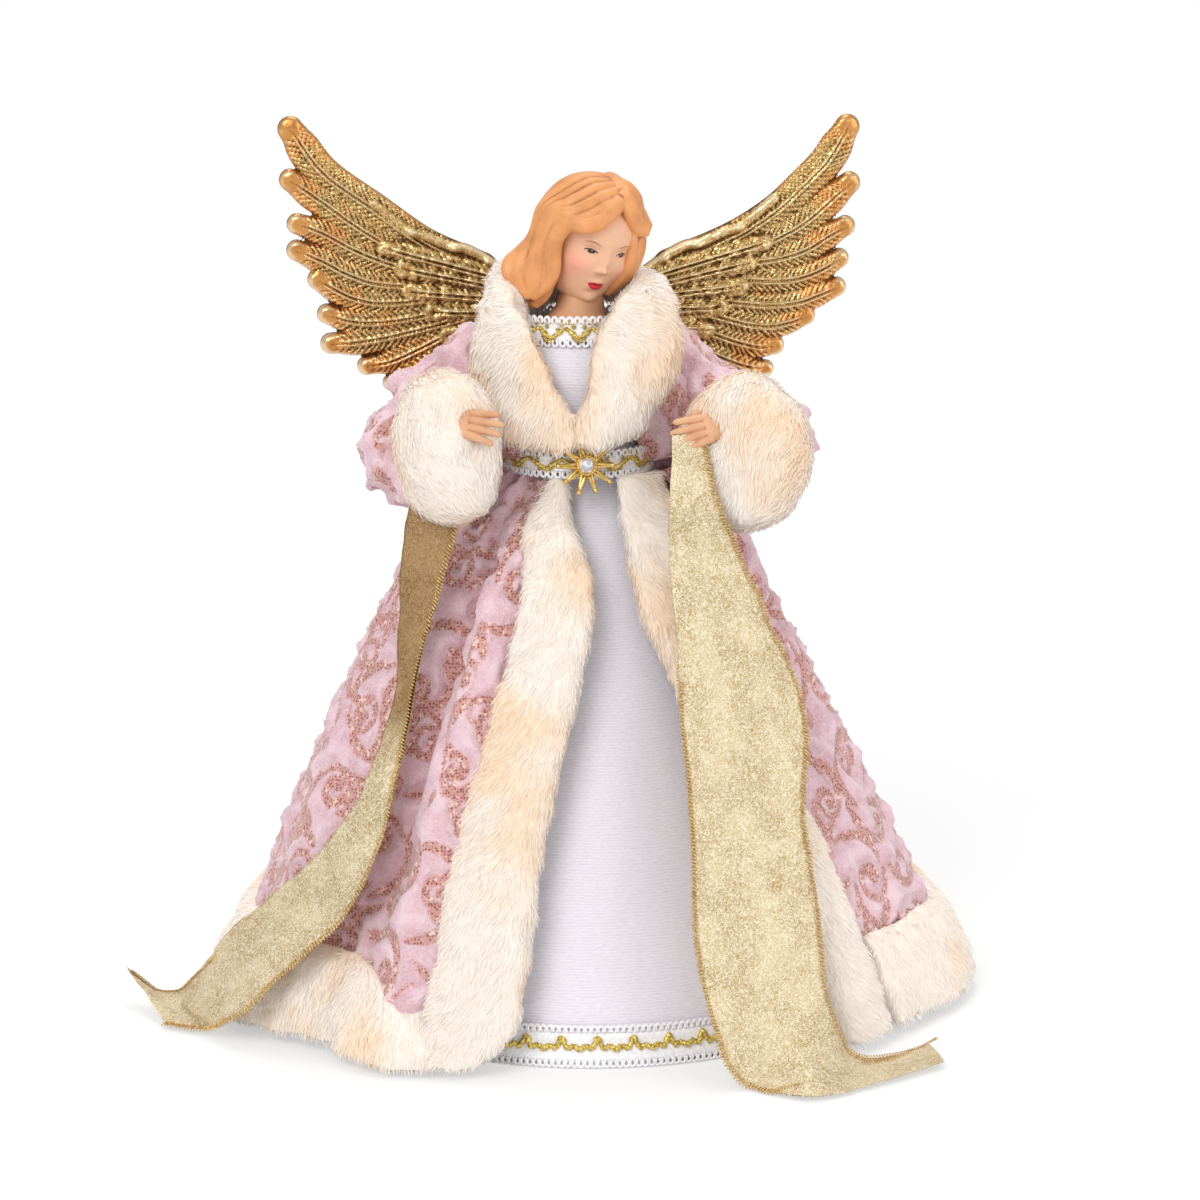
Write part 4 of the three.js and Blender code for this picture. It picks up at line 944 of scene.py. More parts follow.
# How the collar's solid is moved in mm, by height: its left lapel inwards, its right one, and both down
COLLAR_SEAM = -9
LEFT_LAPEL_IN = ((190, 5.5), (199, 5.5), (205, 4.5), (211, 1.8), (218, -2.4), (240, -5.5), (250, 0))
LEFT_LAPEL_SPREAD = ((190, 0.35), (203, 0.3), (216, 0.0))
RIGHT_LAPEL_OUT = ((190, -6.5), (199, -6), (205, -4.5), (211, -2.2), (218, 0.4), (226, 0))
LAPELS_DOWN = ((192, 2.0), (198, 4.0), (211, 7.0), (219, 6.0), (234, 0))


def lapels_to_belt(points):
    """Draws the collar's lapels down to the belt, where they meet, and opens them higher up."""
    x, y, z = points.T
    front = smooth(-y, 10, 17)
    left = smooth(COLLAR_SEAM - 0.5 - x, -1.5, 1.5)
    inward = straight(LEFT_LAPEL_IN, z) + straight(LEFT_LAPEL_SPREAD, z) * (x - COLLAR_SEAM)
    to_right = straight(RIGHT_LAPEL_OUT, z) * smooth(14 - x, 0, 12)
    moved = front * (left * inward + (1 - left) * to_right)
    outer = smooth(x, 10, 20)
    moved = moved + 4.0 * outer * hump(z - 227, 11)
    between = 1 - smooth(np.abs(x - COLLAR_SEAM), 7, 19)
    dropped = straight(LAPELS_DOWN, z) * front * between
    dropped = dropped + 3.0 * front * (1 - between) * smooth(213 - z, 0, 14)
    dropped = dropped + 4.5 * outer * smooth(z, 238, 252)
    return np.stack([x + moved, y, z - dropped], axis=-1)


def swung_front(points):
    """The left front fur set a little further round lower down, with its lower corner rounded."""
    x, y, z = points.T
    angle = np.degrees(np.arctan2(x, -y)) - 2.6 * smooth(drop_share(z), 0.25, 0.5)
    angle = angle - 2.6 * smooth(-angle, 22, 33) * smooth(drop_share(z), 0.2, 0.45)
    angle = angle - 5.5 * (1 - smooth(z, 0, 18)) * smooth(angle, -32, -22)
    return polar(angle, np.hypot(x, y), z)


def dipped_hem(points):
    """The hem's fur, lower where it meets the left front fur."""
    x, y, z = points.T
    away = np.degrees(np.arctan2(x, -y)) + 35
    return np.stack([x, y, z * (1 - 0.38 * hump(away, 13))], axis=-1)


def along_axis(axis):
    def flow(points, normals):
        return np.broadcast_to(unit(np.array(axis, float)), points.shape)

    return flow


# Each fur: name, solid, body, comb, fill, [inset, pile length, tufts to the mm2], seed, how it is moved
FUR_PIECES = (
    ("hem_fur", "fur_hem", "figure", downwards, 0.5, (0.8, 3.0, 0.95), 1, dipped_hem),
    ("left_front_fur", "fur_front_left", "figure", off_the_edge(-1), 0.4, (0.8, 3.0, 1.2), 2, swung_front),
    ("right_front_fur", "fur_front_right", "figure", off_the_edge(1), 0.4, (1.0, 3.0, 1.2), 3),
    ("collar_fur", "fur_collar", "figure", away_from_neck, 0.5, (0.8, 3.2, 1.3), 4, lapels_to_belt),
    ("left_cuff_fur", "left_cuff", "left_arm", along_axis((0.35, -0.6, -0.6)), 0.6, (-0.2, 3.2, 1.3), 5),
    ("right_cuff_fur", "right_cuff", "right_arm", along_axis((-0.35, -0.6, -0.6)), 0.6, (-0.6, 3.2, 1.3), 6),
)


def make_fur():
    for piece in FUR_PIECES:
        fur_piece(*piece)


# Plush with its scroll net


def scroll_curves(rng, reach):
    """One scroll motif in its own plane: a hooked spiral and a branching leaf; [x, y, half width] rows."""
    rows = []
    turn = np.linspace(0, 2 * np.pi * rng.uniform(0.95, 1.2), 64)
    share = turn / turn[-1]
    radius = reach * (1 - 0.72 * share**0.8)
    rows.append(np.stack([radius * np.cos(turn), radius * np.sin(turn), 1.2 + 1.6 * share**3], axis=-1))
    bend = np.linspace(0, 1, 40)
    branches = (
        (rng.uniform(-0.4, 0.3), -1.7, 1.3),
        (rng.uniform(2.4, 3.4), -1.4, 1.0),
        (rng.uniform(1.0, 1.8), 1.3, 1.6),
    )
    for start, swing, growth in branches:
        angle = start + swing * bend
        outer = reach * (1.0 + growth * bend)
        width = 1.05 + 0.95 * np.sin(np.pi * bend)
        rows.append(np.stack([outer * np.cos(angle), outer * np.sin(angle), width], axis=-1))
    return np.vstack(rows)


def scroll_net(points, normals, pitch, reach, seed):
    """Distance in mm from each point to the edge of the scroll lines; below 0 is inside a line."""
    rng = np.random.default_rng(seed)
    surface = KDTree(len(points))
    for k, p in enumerate(points):
        surface.insert(p, k)
    surface.balance()
    centres, taken = [], []
    for k in rng.permutation(len(points)):
        p = points[k]
        if not taken or np.min(np.linalg.norm(np.array(taken) - p, axis=1)) > pitch:
            taken.append(p)
            centres.append(k)
    lines, widths = [], []
    for k in centres:
        normal = normals[k]
        side = unit(np.cross(normal, [0.05, 0.02, 1.0]))
        up = np.cross(side, normal)
        tilt, flip = rng.uniform(0, 2 * np.pi), rng.choice([-1, 1])
        motif = scroll_curves(rng, reach * rng.uniform(0.85, 1.15))
        x = motif[:, 0] * np.cos(tilt) - motif[:, 1] * np.sin(tilt) * flip
        y = motif[:, 0] * np.sin(tilt) + motif[:, 1] * np.cos(tilt) * flip
        placed = points[k] + x[:, None] * side + y[:, None] * up
        for p, width in zip(placed, motif[:, 2]):
            lines.append(points[surface.find(p)[1]] * 0.5 + p * 0.5)
            widths.append(width)
    tree = KDTree(len(lines))
    for k, p in enumerate(lines):
        tree.insert(p, k)
    tree.balance()
    net = np.empty(len(points))
    for k, p in enumerate(points):
        net[k] = min(distance - widths[n] for _, n, distance in tree.find_n(p, 3))
    return np.clip(net, -4, 6)


def emboss(made, seed, pitch=17.5, reach=7.8, relief=2.4):
    """Raises the plush between the scroll lines and writes the lines for the shader."""
    points, normals = points_of(made)
    net = scroll_net(points, normals, pitch, reach, seed)
    set_values(made, "net", net)
    height = relief * (smooth(net, -0.4, 3.2) - 0.6) + 0.35 * waves(points, 3.5, seed)
    set_points(made, points + normals * height[:, None])


# The coat's billow at its sides: angle and rise in mm, and its width in degrees
BILLOW = ((-90, 4.2), (90, 1.8))
BILLOW_WIDTH = 32
# The roll beside the left fur edge: angle, rise in mm, width in degrees
LEFT_ROLL = ((-43, 5.0, 4.4), (-53, -5.5, 4.4))
RIPPLE_DEPTH = 2.4
RIPPLES = 18
RIPPLE_SWAY = 0.3
RIPPLE_DROP = ((0.05, 0), (0.3, 1), (0.7, 1), (0.81, 0))
RIPPLE_SIDE = ((0, 0), (0.07, 1), (0.93, 1), (1, 0))


def ripple_dent(angle, height):
    """Shallow dents that run up the coat between its folds, as in its solid."""
    drop = drop_share(height)
    start, end = right_outer(height), 360 + left_outer(height)
    share = (angle - start) / (end - start)
    sway = RIPPLE_SWAY * np.sin(2 * np.pi * drop)
    wave = (1 - np.cos(RIPPLES * np.radians(angle) + 2 * np.pi * sway)) / 2
    return RIPPLE_DEPTH * wave * eased(RIPPLE_DROP, drop) * eased(RIPPLE_SIDE, share)


def coat_surface(angle, height):
    """The plush coat with its ripples, its billow and the roll beside the left fur edge."""
    drop = drop_share(height)
    radius = coat_radius(angle, height) - ripple_dent(angle, height)
    for at, rise in BILLOW:
        billow = rise * hump(apart(angle, at), BILLOW_WIDTH)
        radius = radius + billow * smooth(drop, 0.12, 0.4) * smooth(height, 30, 62)
    grown = smooth(drop, 0.02, 0.25) * (0.4 + 0.6 * smooth(height, 28, 62))
    for at, rise, width in LEFT_ROLL:
        radius = radius + rise * grown * hump(apart(angle, at), width)
    return radius


def make_coat():
    rows, columns = 158, 600
    share = np.linspace(0, 1, columns)[None, :]
    # The cloth goes 9 mm down behind the hem fur, and 19 mm where that fur dips
    lowest = FUR_HEM_TOP - 9 - 10 * smooth(share, 0.88, 0.97)
    heights = lowest + (COAT_TOP - lowest) * np.linspace(0, 1, rows)[:, None]
    start, end = right_outer(heights) - 3, 360 + left_outer(heights) + 3
    angle = start + (end - start) * share
    turn = np.radians(angle)
    pleats = 1.6 * hump(WAIST_HEIGHT - heights, 45) * np.sin(turn * 26 + 2 * np.sin(turn * 5))
    radius = coat_surface(angle, heights) + pleats - 0.8
    crinkle = 1.1 * waves(polar(angle, radius, heights) * (1, 1, 0.45), 11, 7)
    tucked = 4.5 * (1 - smooth(heights - lowest, 1, 9))
    made = sheet_object("coat_plush", polar(angle, radius + crinkle - tucked, heights), PLUSH)
    emboss(made, 11)
    place(made, "figure", "coat_skirt")


def make_coat_bodice():
    heights, angle = lattice(186, 228, 44, 46, 310, 150)
    # The cloth blouses out under the arms, by 12 mm on the right
    beside = 12 * hump(angle - 80, 26) + 5.1 * hump(angle - 282, 26)
    blouse = beside * smooth(heights, 182, 188) * smooth(222 - heights, 0, 14)
    grow = TRIM_GAP * 2 + GOWN_CLOTH + COAT_CLOTH + blouse
    crinkle = waves(torso_point(angle, heights, grow), 9, 3)
    made = sheet_object("coat_body_plush", torso_point(angle, heights, grow + 0.9 * crinkle - 0.4), PLUSH)
    emboss(made, 12, relief=1.2)
    place(made, "figure", "coat_bodice")


def make_sleeve(side, seed):
    made = node_copy(f"{side}_sleeve_plush", f"{side}_sleeve", PLUSH, 1.25, rounds=6)
    points, normals = points_of(made)
    # Creases run round the arm, deepest below the elbow
    creased = 2.2 * waves(points * (1.0, 0.8, 1.7), 13, seed) + 0.9 * waves(points, 5.5, seed + 3)
    points = points + normals * (creased - 0.3)[:, None]
    if side == "right":
        # It slopes off the shoulder to the cuff
        points[:, 2] -= 6.5 * smooth(points[:, 0], 28, 46) * smooth(points[:, 2], 204, 222)
    set_points(made, points)
    emboss(made, seed, pitch=14, reach=6.0, relief=2.2)
    place(made, f"{side}_arm", f"{side}_sleeve")


# Gown and galloon


def make_gown():
    heights, angle = lattice(0.9, 182.4, 120, 180, 540, 360, closed=True)
    hang = waves(polar(angle, 26, heights * 0.22), 8, 4, 1)
    folds = (0.9 * hang + 0.7) * smooth(drop_share(heights), 0.02, 0.5)
    points = polar(angle, gown_radius(heights) - 0.5 + folds, heights)
    slant = heights / math.cos(math.atan2(CONE_HEM_RADIUS - CONE_TOP_RADIUS, CONE_HEIGHT))
    uv = np.stack([np.radians(angle) * 60, slant], axis=-1)
    made = sheet_object("gown_knit", points, KNIT, uv=uv, wrap_columns=True)
    place(made, "figure", "dress_skirt")

    heights, angle = lattice(187.5, 231, 40, 180, 540, 140, closed=True)
    grow = TRIM_GAP + GOWN_CLOTH
    soft = waves(torso_point(angle, heights, grow), 12, 6)
    uv = np.stack([np.radians(angle) * 22, heights], axis=-1)
    made = sheet_object(
        "gown_body_knit", torso_point(angle, heights, grow - 0.5 + 0.5 * soft), KNIT, uv=uv, wrap_columns=True
    )
    place(made, "figure", "dress_bodice")


def low_arches(phase):
    """The hem cord's line: flat runs with a narrow arch between each two."""
    return 2 * hump(np.sin(phase / 2), 0.3) - 1 + 0.3 * np.cos(3 * phase)


def galloon(name, node, surface, low, high, cord, edges, spacing, shape_of=None):
    """A galloon band: white woven tape, picot loops on its edges, and a gold cord that waves along it.

    surface(angle, height, grow) is the band's place, edges are [height, way of the loops] pairs, and cord is
    its middle height, reach, thread radius and number of waves. shape_of(phase) is the line of a plain cord;
    without it the cord runs in zigzags and has small gold picots of its own.
    """
    rows = 10
    heights, angle = lattice(low, high, rows, 0, 360, 300, closed=True)
    swell = np.abs(np.sin(np.linspace(0, 3 * np.pi, rows)))[:, None]
    outer = surface(angle, heights, 0.55 + 0.5 * swell)
    inner = surface(angle, heights[::-1], 0.05)
    band = sheet_object(name, np.concatenate([outer, inner]), BRAID_WHITE, wrap_columns=True, wrap_rows=True)
    place(band, "figure", node)
    turn = np.linspace(0, 360, 900, endpoint=False)
    for k, (height, way) in enumerate(edges):
        line = surface(turn, np.full(900, height), 1.0)
        out = unit(surface(turn, np.full(900, height), 2.0) - line)
        row = row_of(
            f"{name}_picots_{k + 1}", line[::way], out[::way], PICOT, spacing, BRAID_WHITE, closed=True
        )
        place(row, "figure")
    middle, reach, thread, waves_round = cord
    turn = np.linspace(0, 360, 40 * waves_round, endpoint=False)
    phase = np.radians(turn) * waves_round
    rise = reach * (shape_of(phase) if shape_of else np.arcsin(0.96 * np.sin(phase)) / (np.pi / 2))
    line = surface(turn, middle + rise, 1.3 + 0.3 * np.cos(2 * phase))
    twist = thread * (1 + 0.22 * np.sin(np.arange(len(turn)) * 1.9))
    points, faces = tube_parts(line, twist, 8, closed=True)
    place(outward(mesh_object(f"{name}_gold_cord", points, faces, BRAID_GOLD)), "figure")
    if shape_of:
        return
    dots = surface(turn, middle + rise + 1.7 * np.sign(np.sin(phase)), 1.2)
    dots_out = unit(surface(turn, middle + rise, 2.0) - surface(turn, middle + rise, 1.0))
    row = row_of(f"{name}_gold_picots", dots, dots_out, SMALL_PICOT, 2.0, BRAID_GOLD, closed=True)
    place(row, "figure")


def on_gown(angle, height, grow):
    return polar(angle, gown_radius(height) + TRIM_GAP + grow, height)


def on_waist(angle, height, grow):
    radius = ellipse_radius(angle, 24.4 + grow, 23.9 + grow)
    return polar(angle, radius, height, TORSO_CENTRE)


def on_neck(angle, height, grow):
    inner = 2 * TRIM_GAP + GOWN_CLOTH
    point = torso_point(angle, np.minimum(height, TORSO_TOP), inner + grow)
    point[..., 2] = height
    return point


def make_trims():
    galloon(
        "hem_galloon", "hem_trim", on_gown, 2.2, 11.6, (8.0, 1.3, 0.9, 50), ((11.2, 1), (2.6, -1)), 2.1,
        low_arches,
    )
    galloon(
        "waist_galloon", "waist_trim", on_waist, 184.6, 190.2, (187.4, 1.9, 0.7, 13),
        ((189.8, 1), (184.9, -1)), 2.6,
    )
    galloon(
        "neck_galloon", "neck_trim", on_neck, 227.8, 233.6, (230.2, 1.8, 0.7, 12),
        ((233.4, 1), (228.0, -1)), 2.6,
    )


# Ribbons

RIGHT_RIBBON = (
    (
        (0.128, -0.44, 1.07), (0.11, -0.545, 0.95), (0.122, -0.52, 0.86), (0.128, -0.69, 0.63),
        (0.15, -0.86, 0.39), (0.165, -0.955, 0.26), (0.205, -1.06, 0.1), (0.26, -1.06, 0.012),
        (0.4, -1.2, 0.008), (0.56, -1.13, 0.008), (0.78, -1.0, 0.014),
    ),
    (
        (0.225, -0.43, 1.07), (0.25, -0.52, 0.95), (0.31, -0.5, 0.85), (0.46, -0.53, 0.6),
        (0.474, -0.66, 0.47), (0.484, -0.76, 0.355), (0.495, -0.86, 0.23), (0.505, -0.965, 0.1),
        (0.55, -0.95, 0.03), (0.64, -0.85, 0.012), (0.76, -0.76, 0.014),
    ),
)
LEFT_RIBBON = (
    (
        (-0.48, -0.33, 0.97), (-0.51, -0.32, 0.84), (-0.52, -0.3, 0.72), (-0.52, -0.36, 0.62),
        (-0.538, -0.38, 0.56), (-0.575, -0.41, 0.49), (-0.65, -0.42, 0.4), (-0.735, -0.38, 0.32),
        (-0.86, -0.32, 0.24), (-0.96, -0.24, 0.13), (-1.05, -0.13, 0.045), (-1.14, -0.07, 0.03),
        (-1.213, -0.02, 0.064),
    ),
    (
        (-0.35, -0.38, 0.97), (-0.4, -0.37, 0.84), (-0.455, -0.36, 0.72), (-0.493, -0.42, 0.62),
        (-0.52, -0.46, 0.54), (-0.545, -0.5, 0.46), (-0.585, -0.55, 0.37), (-0.64, -0.58, 0.29),
        (-0.72, -0.58, 0.21), (-0.83, -0.55, 0.13), (-0.92, -0.5, 0.06), (-1.02, -0.4, 0.015),
        (-1.12, -0.31, 0.008),
    ),
)
SKIRT_SPAN = np.array([HEM_HALF_WIDTH, HEM_HALF_DEPTH, WAIST_HEIGHT])


def on_coat(points):
    """Moves ribbon points out to where the coat, or the fur on its hem, carries them."""
    radius = np.hypot(points[..., 0], points[..., 1])
    angle = np.degrees(np.arctan2(points[..., 0], -points[..., 1]))
    height = points[..., 2]
    fur = (FUR_PROUD + 1.5) * (1 - smooth(height, FUR_HEM_TOP, FUR_HEM_TOP + 15.5))
    rest = bell_radius(angle, height) + COAT_FOLD + fur + 0.9
    carried = np.maximum(radius, rest) / radius
    return points * np.stack([carried, carried, np.ones_like(carried)], axis=-1)


RIBBON_WIDTH = 40
RIBBON_LAYER = 1.5


def make_ribbon(side, edges, flat_length, folds, gathered=0.0, aside=0.0):
    """A ribbon between two edges; where they are closer than its width, the rest is turned under.

    folds are rows of [share, width, rise in mm, slope]; gathered is how much narrower it is where the hand
    holds it, and aside how far it hangs over in mm.
    """
    columns, rows = 34, 260
    along = np.linspace(0, 1, rows)
    near, far = (cat_rom(np.array(edge) * SKIRT_SPAN, rows) for edge in edges)
    middle = (near + far) / 2
    close = gathered * (1 - smooth(along, 0.02, 0.15))[:, None]
    over = aside * (1 - smooth(middle[:, 2:], 45, 110)) * (1, 0, 0)
    near, far = (edge + (middle - edge) * close + over for edge in (near, far))
    shown = np.linalg.norm(far - near, axis=-1)[:, None]
    spare = np.clip(RIBBON_WIDTH - shown, 0, 0.92 * shown)
    run = np.linspace(0, 1, columns)[None, :] * (shown + spare)
    under = np.maximum(run - shown, 0)
    across = (np.minimum(run, shown) - under) / shown
    points = on_coat(far[:, None] * (1 - across[..., None]) + near[:, None] * across[..., None])
    outwards = unit(points * (1, 1, 0) + (0, 0, 12))
    layer = RIBBON_LAYER * smooth(spare, 0, 8) * (1 - smooth(under, 0, 1.2))
    made = sheet_object(f"{side}_ribbon_weave", points + outwards * layer[..., None], RIBBON)
    # The weave's back is browner; it shows above the left ribbon's twist, where the browner tint is also
    # painted shade
    reverse = (1 - smooth(along, 0.3, 0.42)) if side == "left" else np.zeros(rows)
    set_values(made, "reverse", np.repeat(reverse, columns))
    placed, _ = points_of(made)
    share = np.repeat(along, columns)
    side_share = 1 - 2 * across.ravel()
    lift = 0.0
    for at, width, rise, slope_over in folds:
        lift = lift + rise * hump(share - at - slope_over * side_share, width)
    lift = lift + 0.7 * waves(placed, 16, 8) + 0.35 * waves(placed, 6, 9)
    frill = 0.5 * np.sin(share * flat_length / 9.0) * np.abs(side_share) ** 3
    set_points(made, placed + outwards.reshape(-1, 3) * (lift + frill)[:, None])
    placed, out = (row.reshape(rows, columns, 3) for row in points_of(made))
    placed[..., 2] = np.maximum(placed[..., 2], 0.9)
    set_points(made, placed.reshape(-1, 3))
    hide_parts(f"{side}_ribbon")
    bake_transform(made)
    for k, (column, inner) in enumerate(((0, 1), (-1, -2))):
        inset = 0.35 * (placed[:, inner] - placed[:, column])
        line = resampled(placed[:, column] + inset, 420)
        facing = unit(resampled(out[:, column], 420))
        if np.sum(facing * line, axis=-1).mean() < 0:
            facing = -facing
        edge = row_of(f"{side}_ribbon_overlock_{k + 1}", line, facing, STITCH, 1.15, THREAD)
        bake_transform(edge)


def make_ribbons():
    make_ribbon(
        "left", LEFT_RIBBON, 232,
        ((0.42, 0.03, 1.5, 0.02), (0.62, 0.05, -1.0, 0.05), (0.9, 0.03, 2.0, -0.03)),
    )
    make_ribbon(
        "right", RIGHT_RIBBON, 275,
        ((0.3, 0.05, 1.2, 0.05), (0.55, 0.06, -1.2, -0.05), (0.78, 0.03, 1.5, 0.02)), 0.2, -5.0,
    )


# Wings

# Each quill from its tip to its root: [x, z] points in mm and the half width of its vane
LEFT_QUILLS = (
    (((-97.6, 293.5), (-87.4, 279.2), (-69.5, 266.0), (-52.5, 254.0), (-33.1, 245.4)), 6.0),
    (((-97.8, 276.4), (-87.5, 269.0), (-73.9, 259.2), (-58.0, 250.5), (-36, 243)), 5.2),
    (((-95.5, 261.5), (-87.7, 258.6), (-75.5, 252.0), (-60.0, 246.2), (-36, 241)), 5.0),
    (((-95.8, 252.4), (-87.8, 248.9), (-78.5, 244.0), (-66.3, 240.6), (-36, 239)), 5.0),
    (((-88.8, 242.2), (-83.4, 239.0), (-75.7, 235.6), (-63.5, 234.3), (-34, 237)), 5.0),
    (((-85.8, 230.4), (-80.4, 228.6), (-71.4, 227.6), (-57.7, 229.0), (-32, 234)), 4.8),
    (((-84.6, 220.4), (-78.3, 220.8), (-68.6, 222.1), (-55.8, 224.8), (-30, 231)), 5.0),
    (((-72.3, 212.6), (-64.8, 214.2), (-55.9, 218.0), (-43.6, 223.8), (-28, 229)), 4.6),
    (((-64.0, 206.8), (-58.9, 210.5), (-50.1, 215.5), (-40, 220), (-26, 226)), 4.2),
)
RIGHT_QUILLS = (
    (((95.8, 292.2), (89.3, 281.5), (81.0, 273.0), (70.5, 263.6), (55.6, 254.6), (33, 245.4)), 6.0),
    (((96.6, 272.8), (92.0, 268.9), (83.1, 261.3), (73.6, 255.6), (58.7, 249.9), (36, 243)), 5.4),
    (((95.2, 257.9), (89.0, 254.6), (81.8, 250.4), (72.3, 247.5), (58.0, 245.5), (36, 241)), 5.0),
    (((93.2, 246.6), (86.4, 242.9), (78.5, 240.3), (69.6, 239.6), (57.3, 240.2), (36, 239)), 4.8),
    (((92.3, 236.6), (86.5, 234.5), (78.6, 231.9), (68.3, 231.1), (55.0, 232.4), (34, 236)), 4.8),
    (((81.2, 226.8), (75.7, 225.0), (68.4, 223.8), (60.2, 224.6), (49.9, 227.4), (31, 232)), 4.8),
    (((70.0, 216.8), (64.4, 216.6), (56.1, 218.6), (47.2, 221.8), (28, 228)), 4.8),
    (((66.9, 208.8), (61.1, 209.6), (55.2, 211.5), (44, 216), (26, 222)), 4.0),
)
# Short coverts over the quills' roots: from, to, half width
COVERTS = (
    ((66, 253), (30, 243), 4.2), ((60, 246), (27, 239), 4.6), ((57, 238), (25, 235), 4.8),
    ((50, 231), (23, 230), 4.8), ((45, 223), (21, 225), 4.6), ((37, 216), (20, 219), 4.4),
)
LEADING_EDGE = (
    (70.2, 268.5), (58.5, 259.3), (52, 256.8), (44.5, 253.6), (38.5, 252.4), (32, 249), (24, 243.5),
)
KNUCKLES = ((57.5, 258.6, 2.4), (42.5, 252.8, 2.2), (31, 248, 1.8))
WING_CELL = 0.42
WING_FRONT = 39.2
WING_BACK = 39.9


def vane(grid, quill, half_width, barbs=0.55):
    """Three values in mm at each grid point: how far inside a feather it is, the relief of the feather's
    shaft and barbs, and the way from its tip. barbs is how high the barbs stand."""
    quill = np.array(quill, float)
    if barbs:
        quill[0] += 0.8 * unit(quill[0] - quill[1])
    line = cat_rom(quill, 90)
    run = np.concatenate([[0], np.cumsum(np.linalg.norm(np.diff(line, axis=0), axis=1))])
    inside = np.full(len(grid), -9.0)
    relief = np.zeros(len(grid))
    near = np.all((grid > line.min(0) - 7) & (grid < line.max(0) + 7), axis=1)
    if not near.any():
        return inside, relief, inside
    away = np.linalg.norm(grid[near, None] - line[None], axis=-1)
    nearest = away.argmin(axis=1)
    distance = away[np.arange(len(nearest)), nearest]
    ahead = np.gradient(line, axis=0)[nearest]
    offset = grid[near] - line[nearest]
    side = np.sign(ahead[:, 0] * offset[:, 1] - ahead[:, 1] * offset[:, 0])
    along = run[nearest]
    width = half_width * ((0.74 + 0.26 * smooth(along, 0, 9)) if barbs else 1.0)
    inside[near] = width - distance
    share = np.clip(distance / width, 0, 1)
    crown = 2.0 * np.sqrt(np.clip(1 - share**2.2, 0, 1))
    if barbs:
        # Barbs 2.2 mm apart, each a rounded ridge that leans out to the tip
        bent = 0.5 * waves(np.stack([grid[near][:, 0], 0 * along, grid[near][:, 1]], axis=-1), 6, 3, 1)
        barb = np.abs(np.sin(np.pi * ((along + 1.15 * distance + 0.4 * side) / 2.2 + bent))) * 2 - 1.3
        barb = barb * smooth(distance, 0.9, 1.7) * smooth(width - distance, 0.1, 0.9) * smooth(along, 0.5, 4)
        crown = crown + barbs * barb
        shaft = hump(distance - 0.75, 0.36) * smooth(along, 1.5, 6)
        crown = crown + shaft - 0.5 * hump(distance, 0.3)
    relief[near] = crown
    tip = np.full(len(grid), 99.0)
    tip[near] = along + 0.3 * distance
    return inside, relief, tip


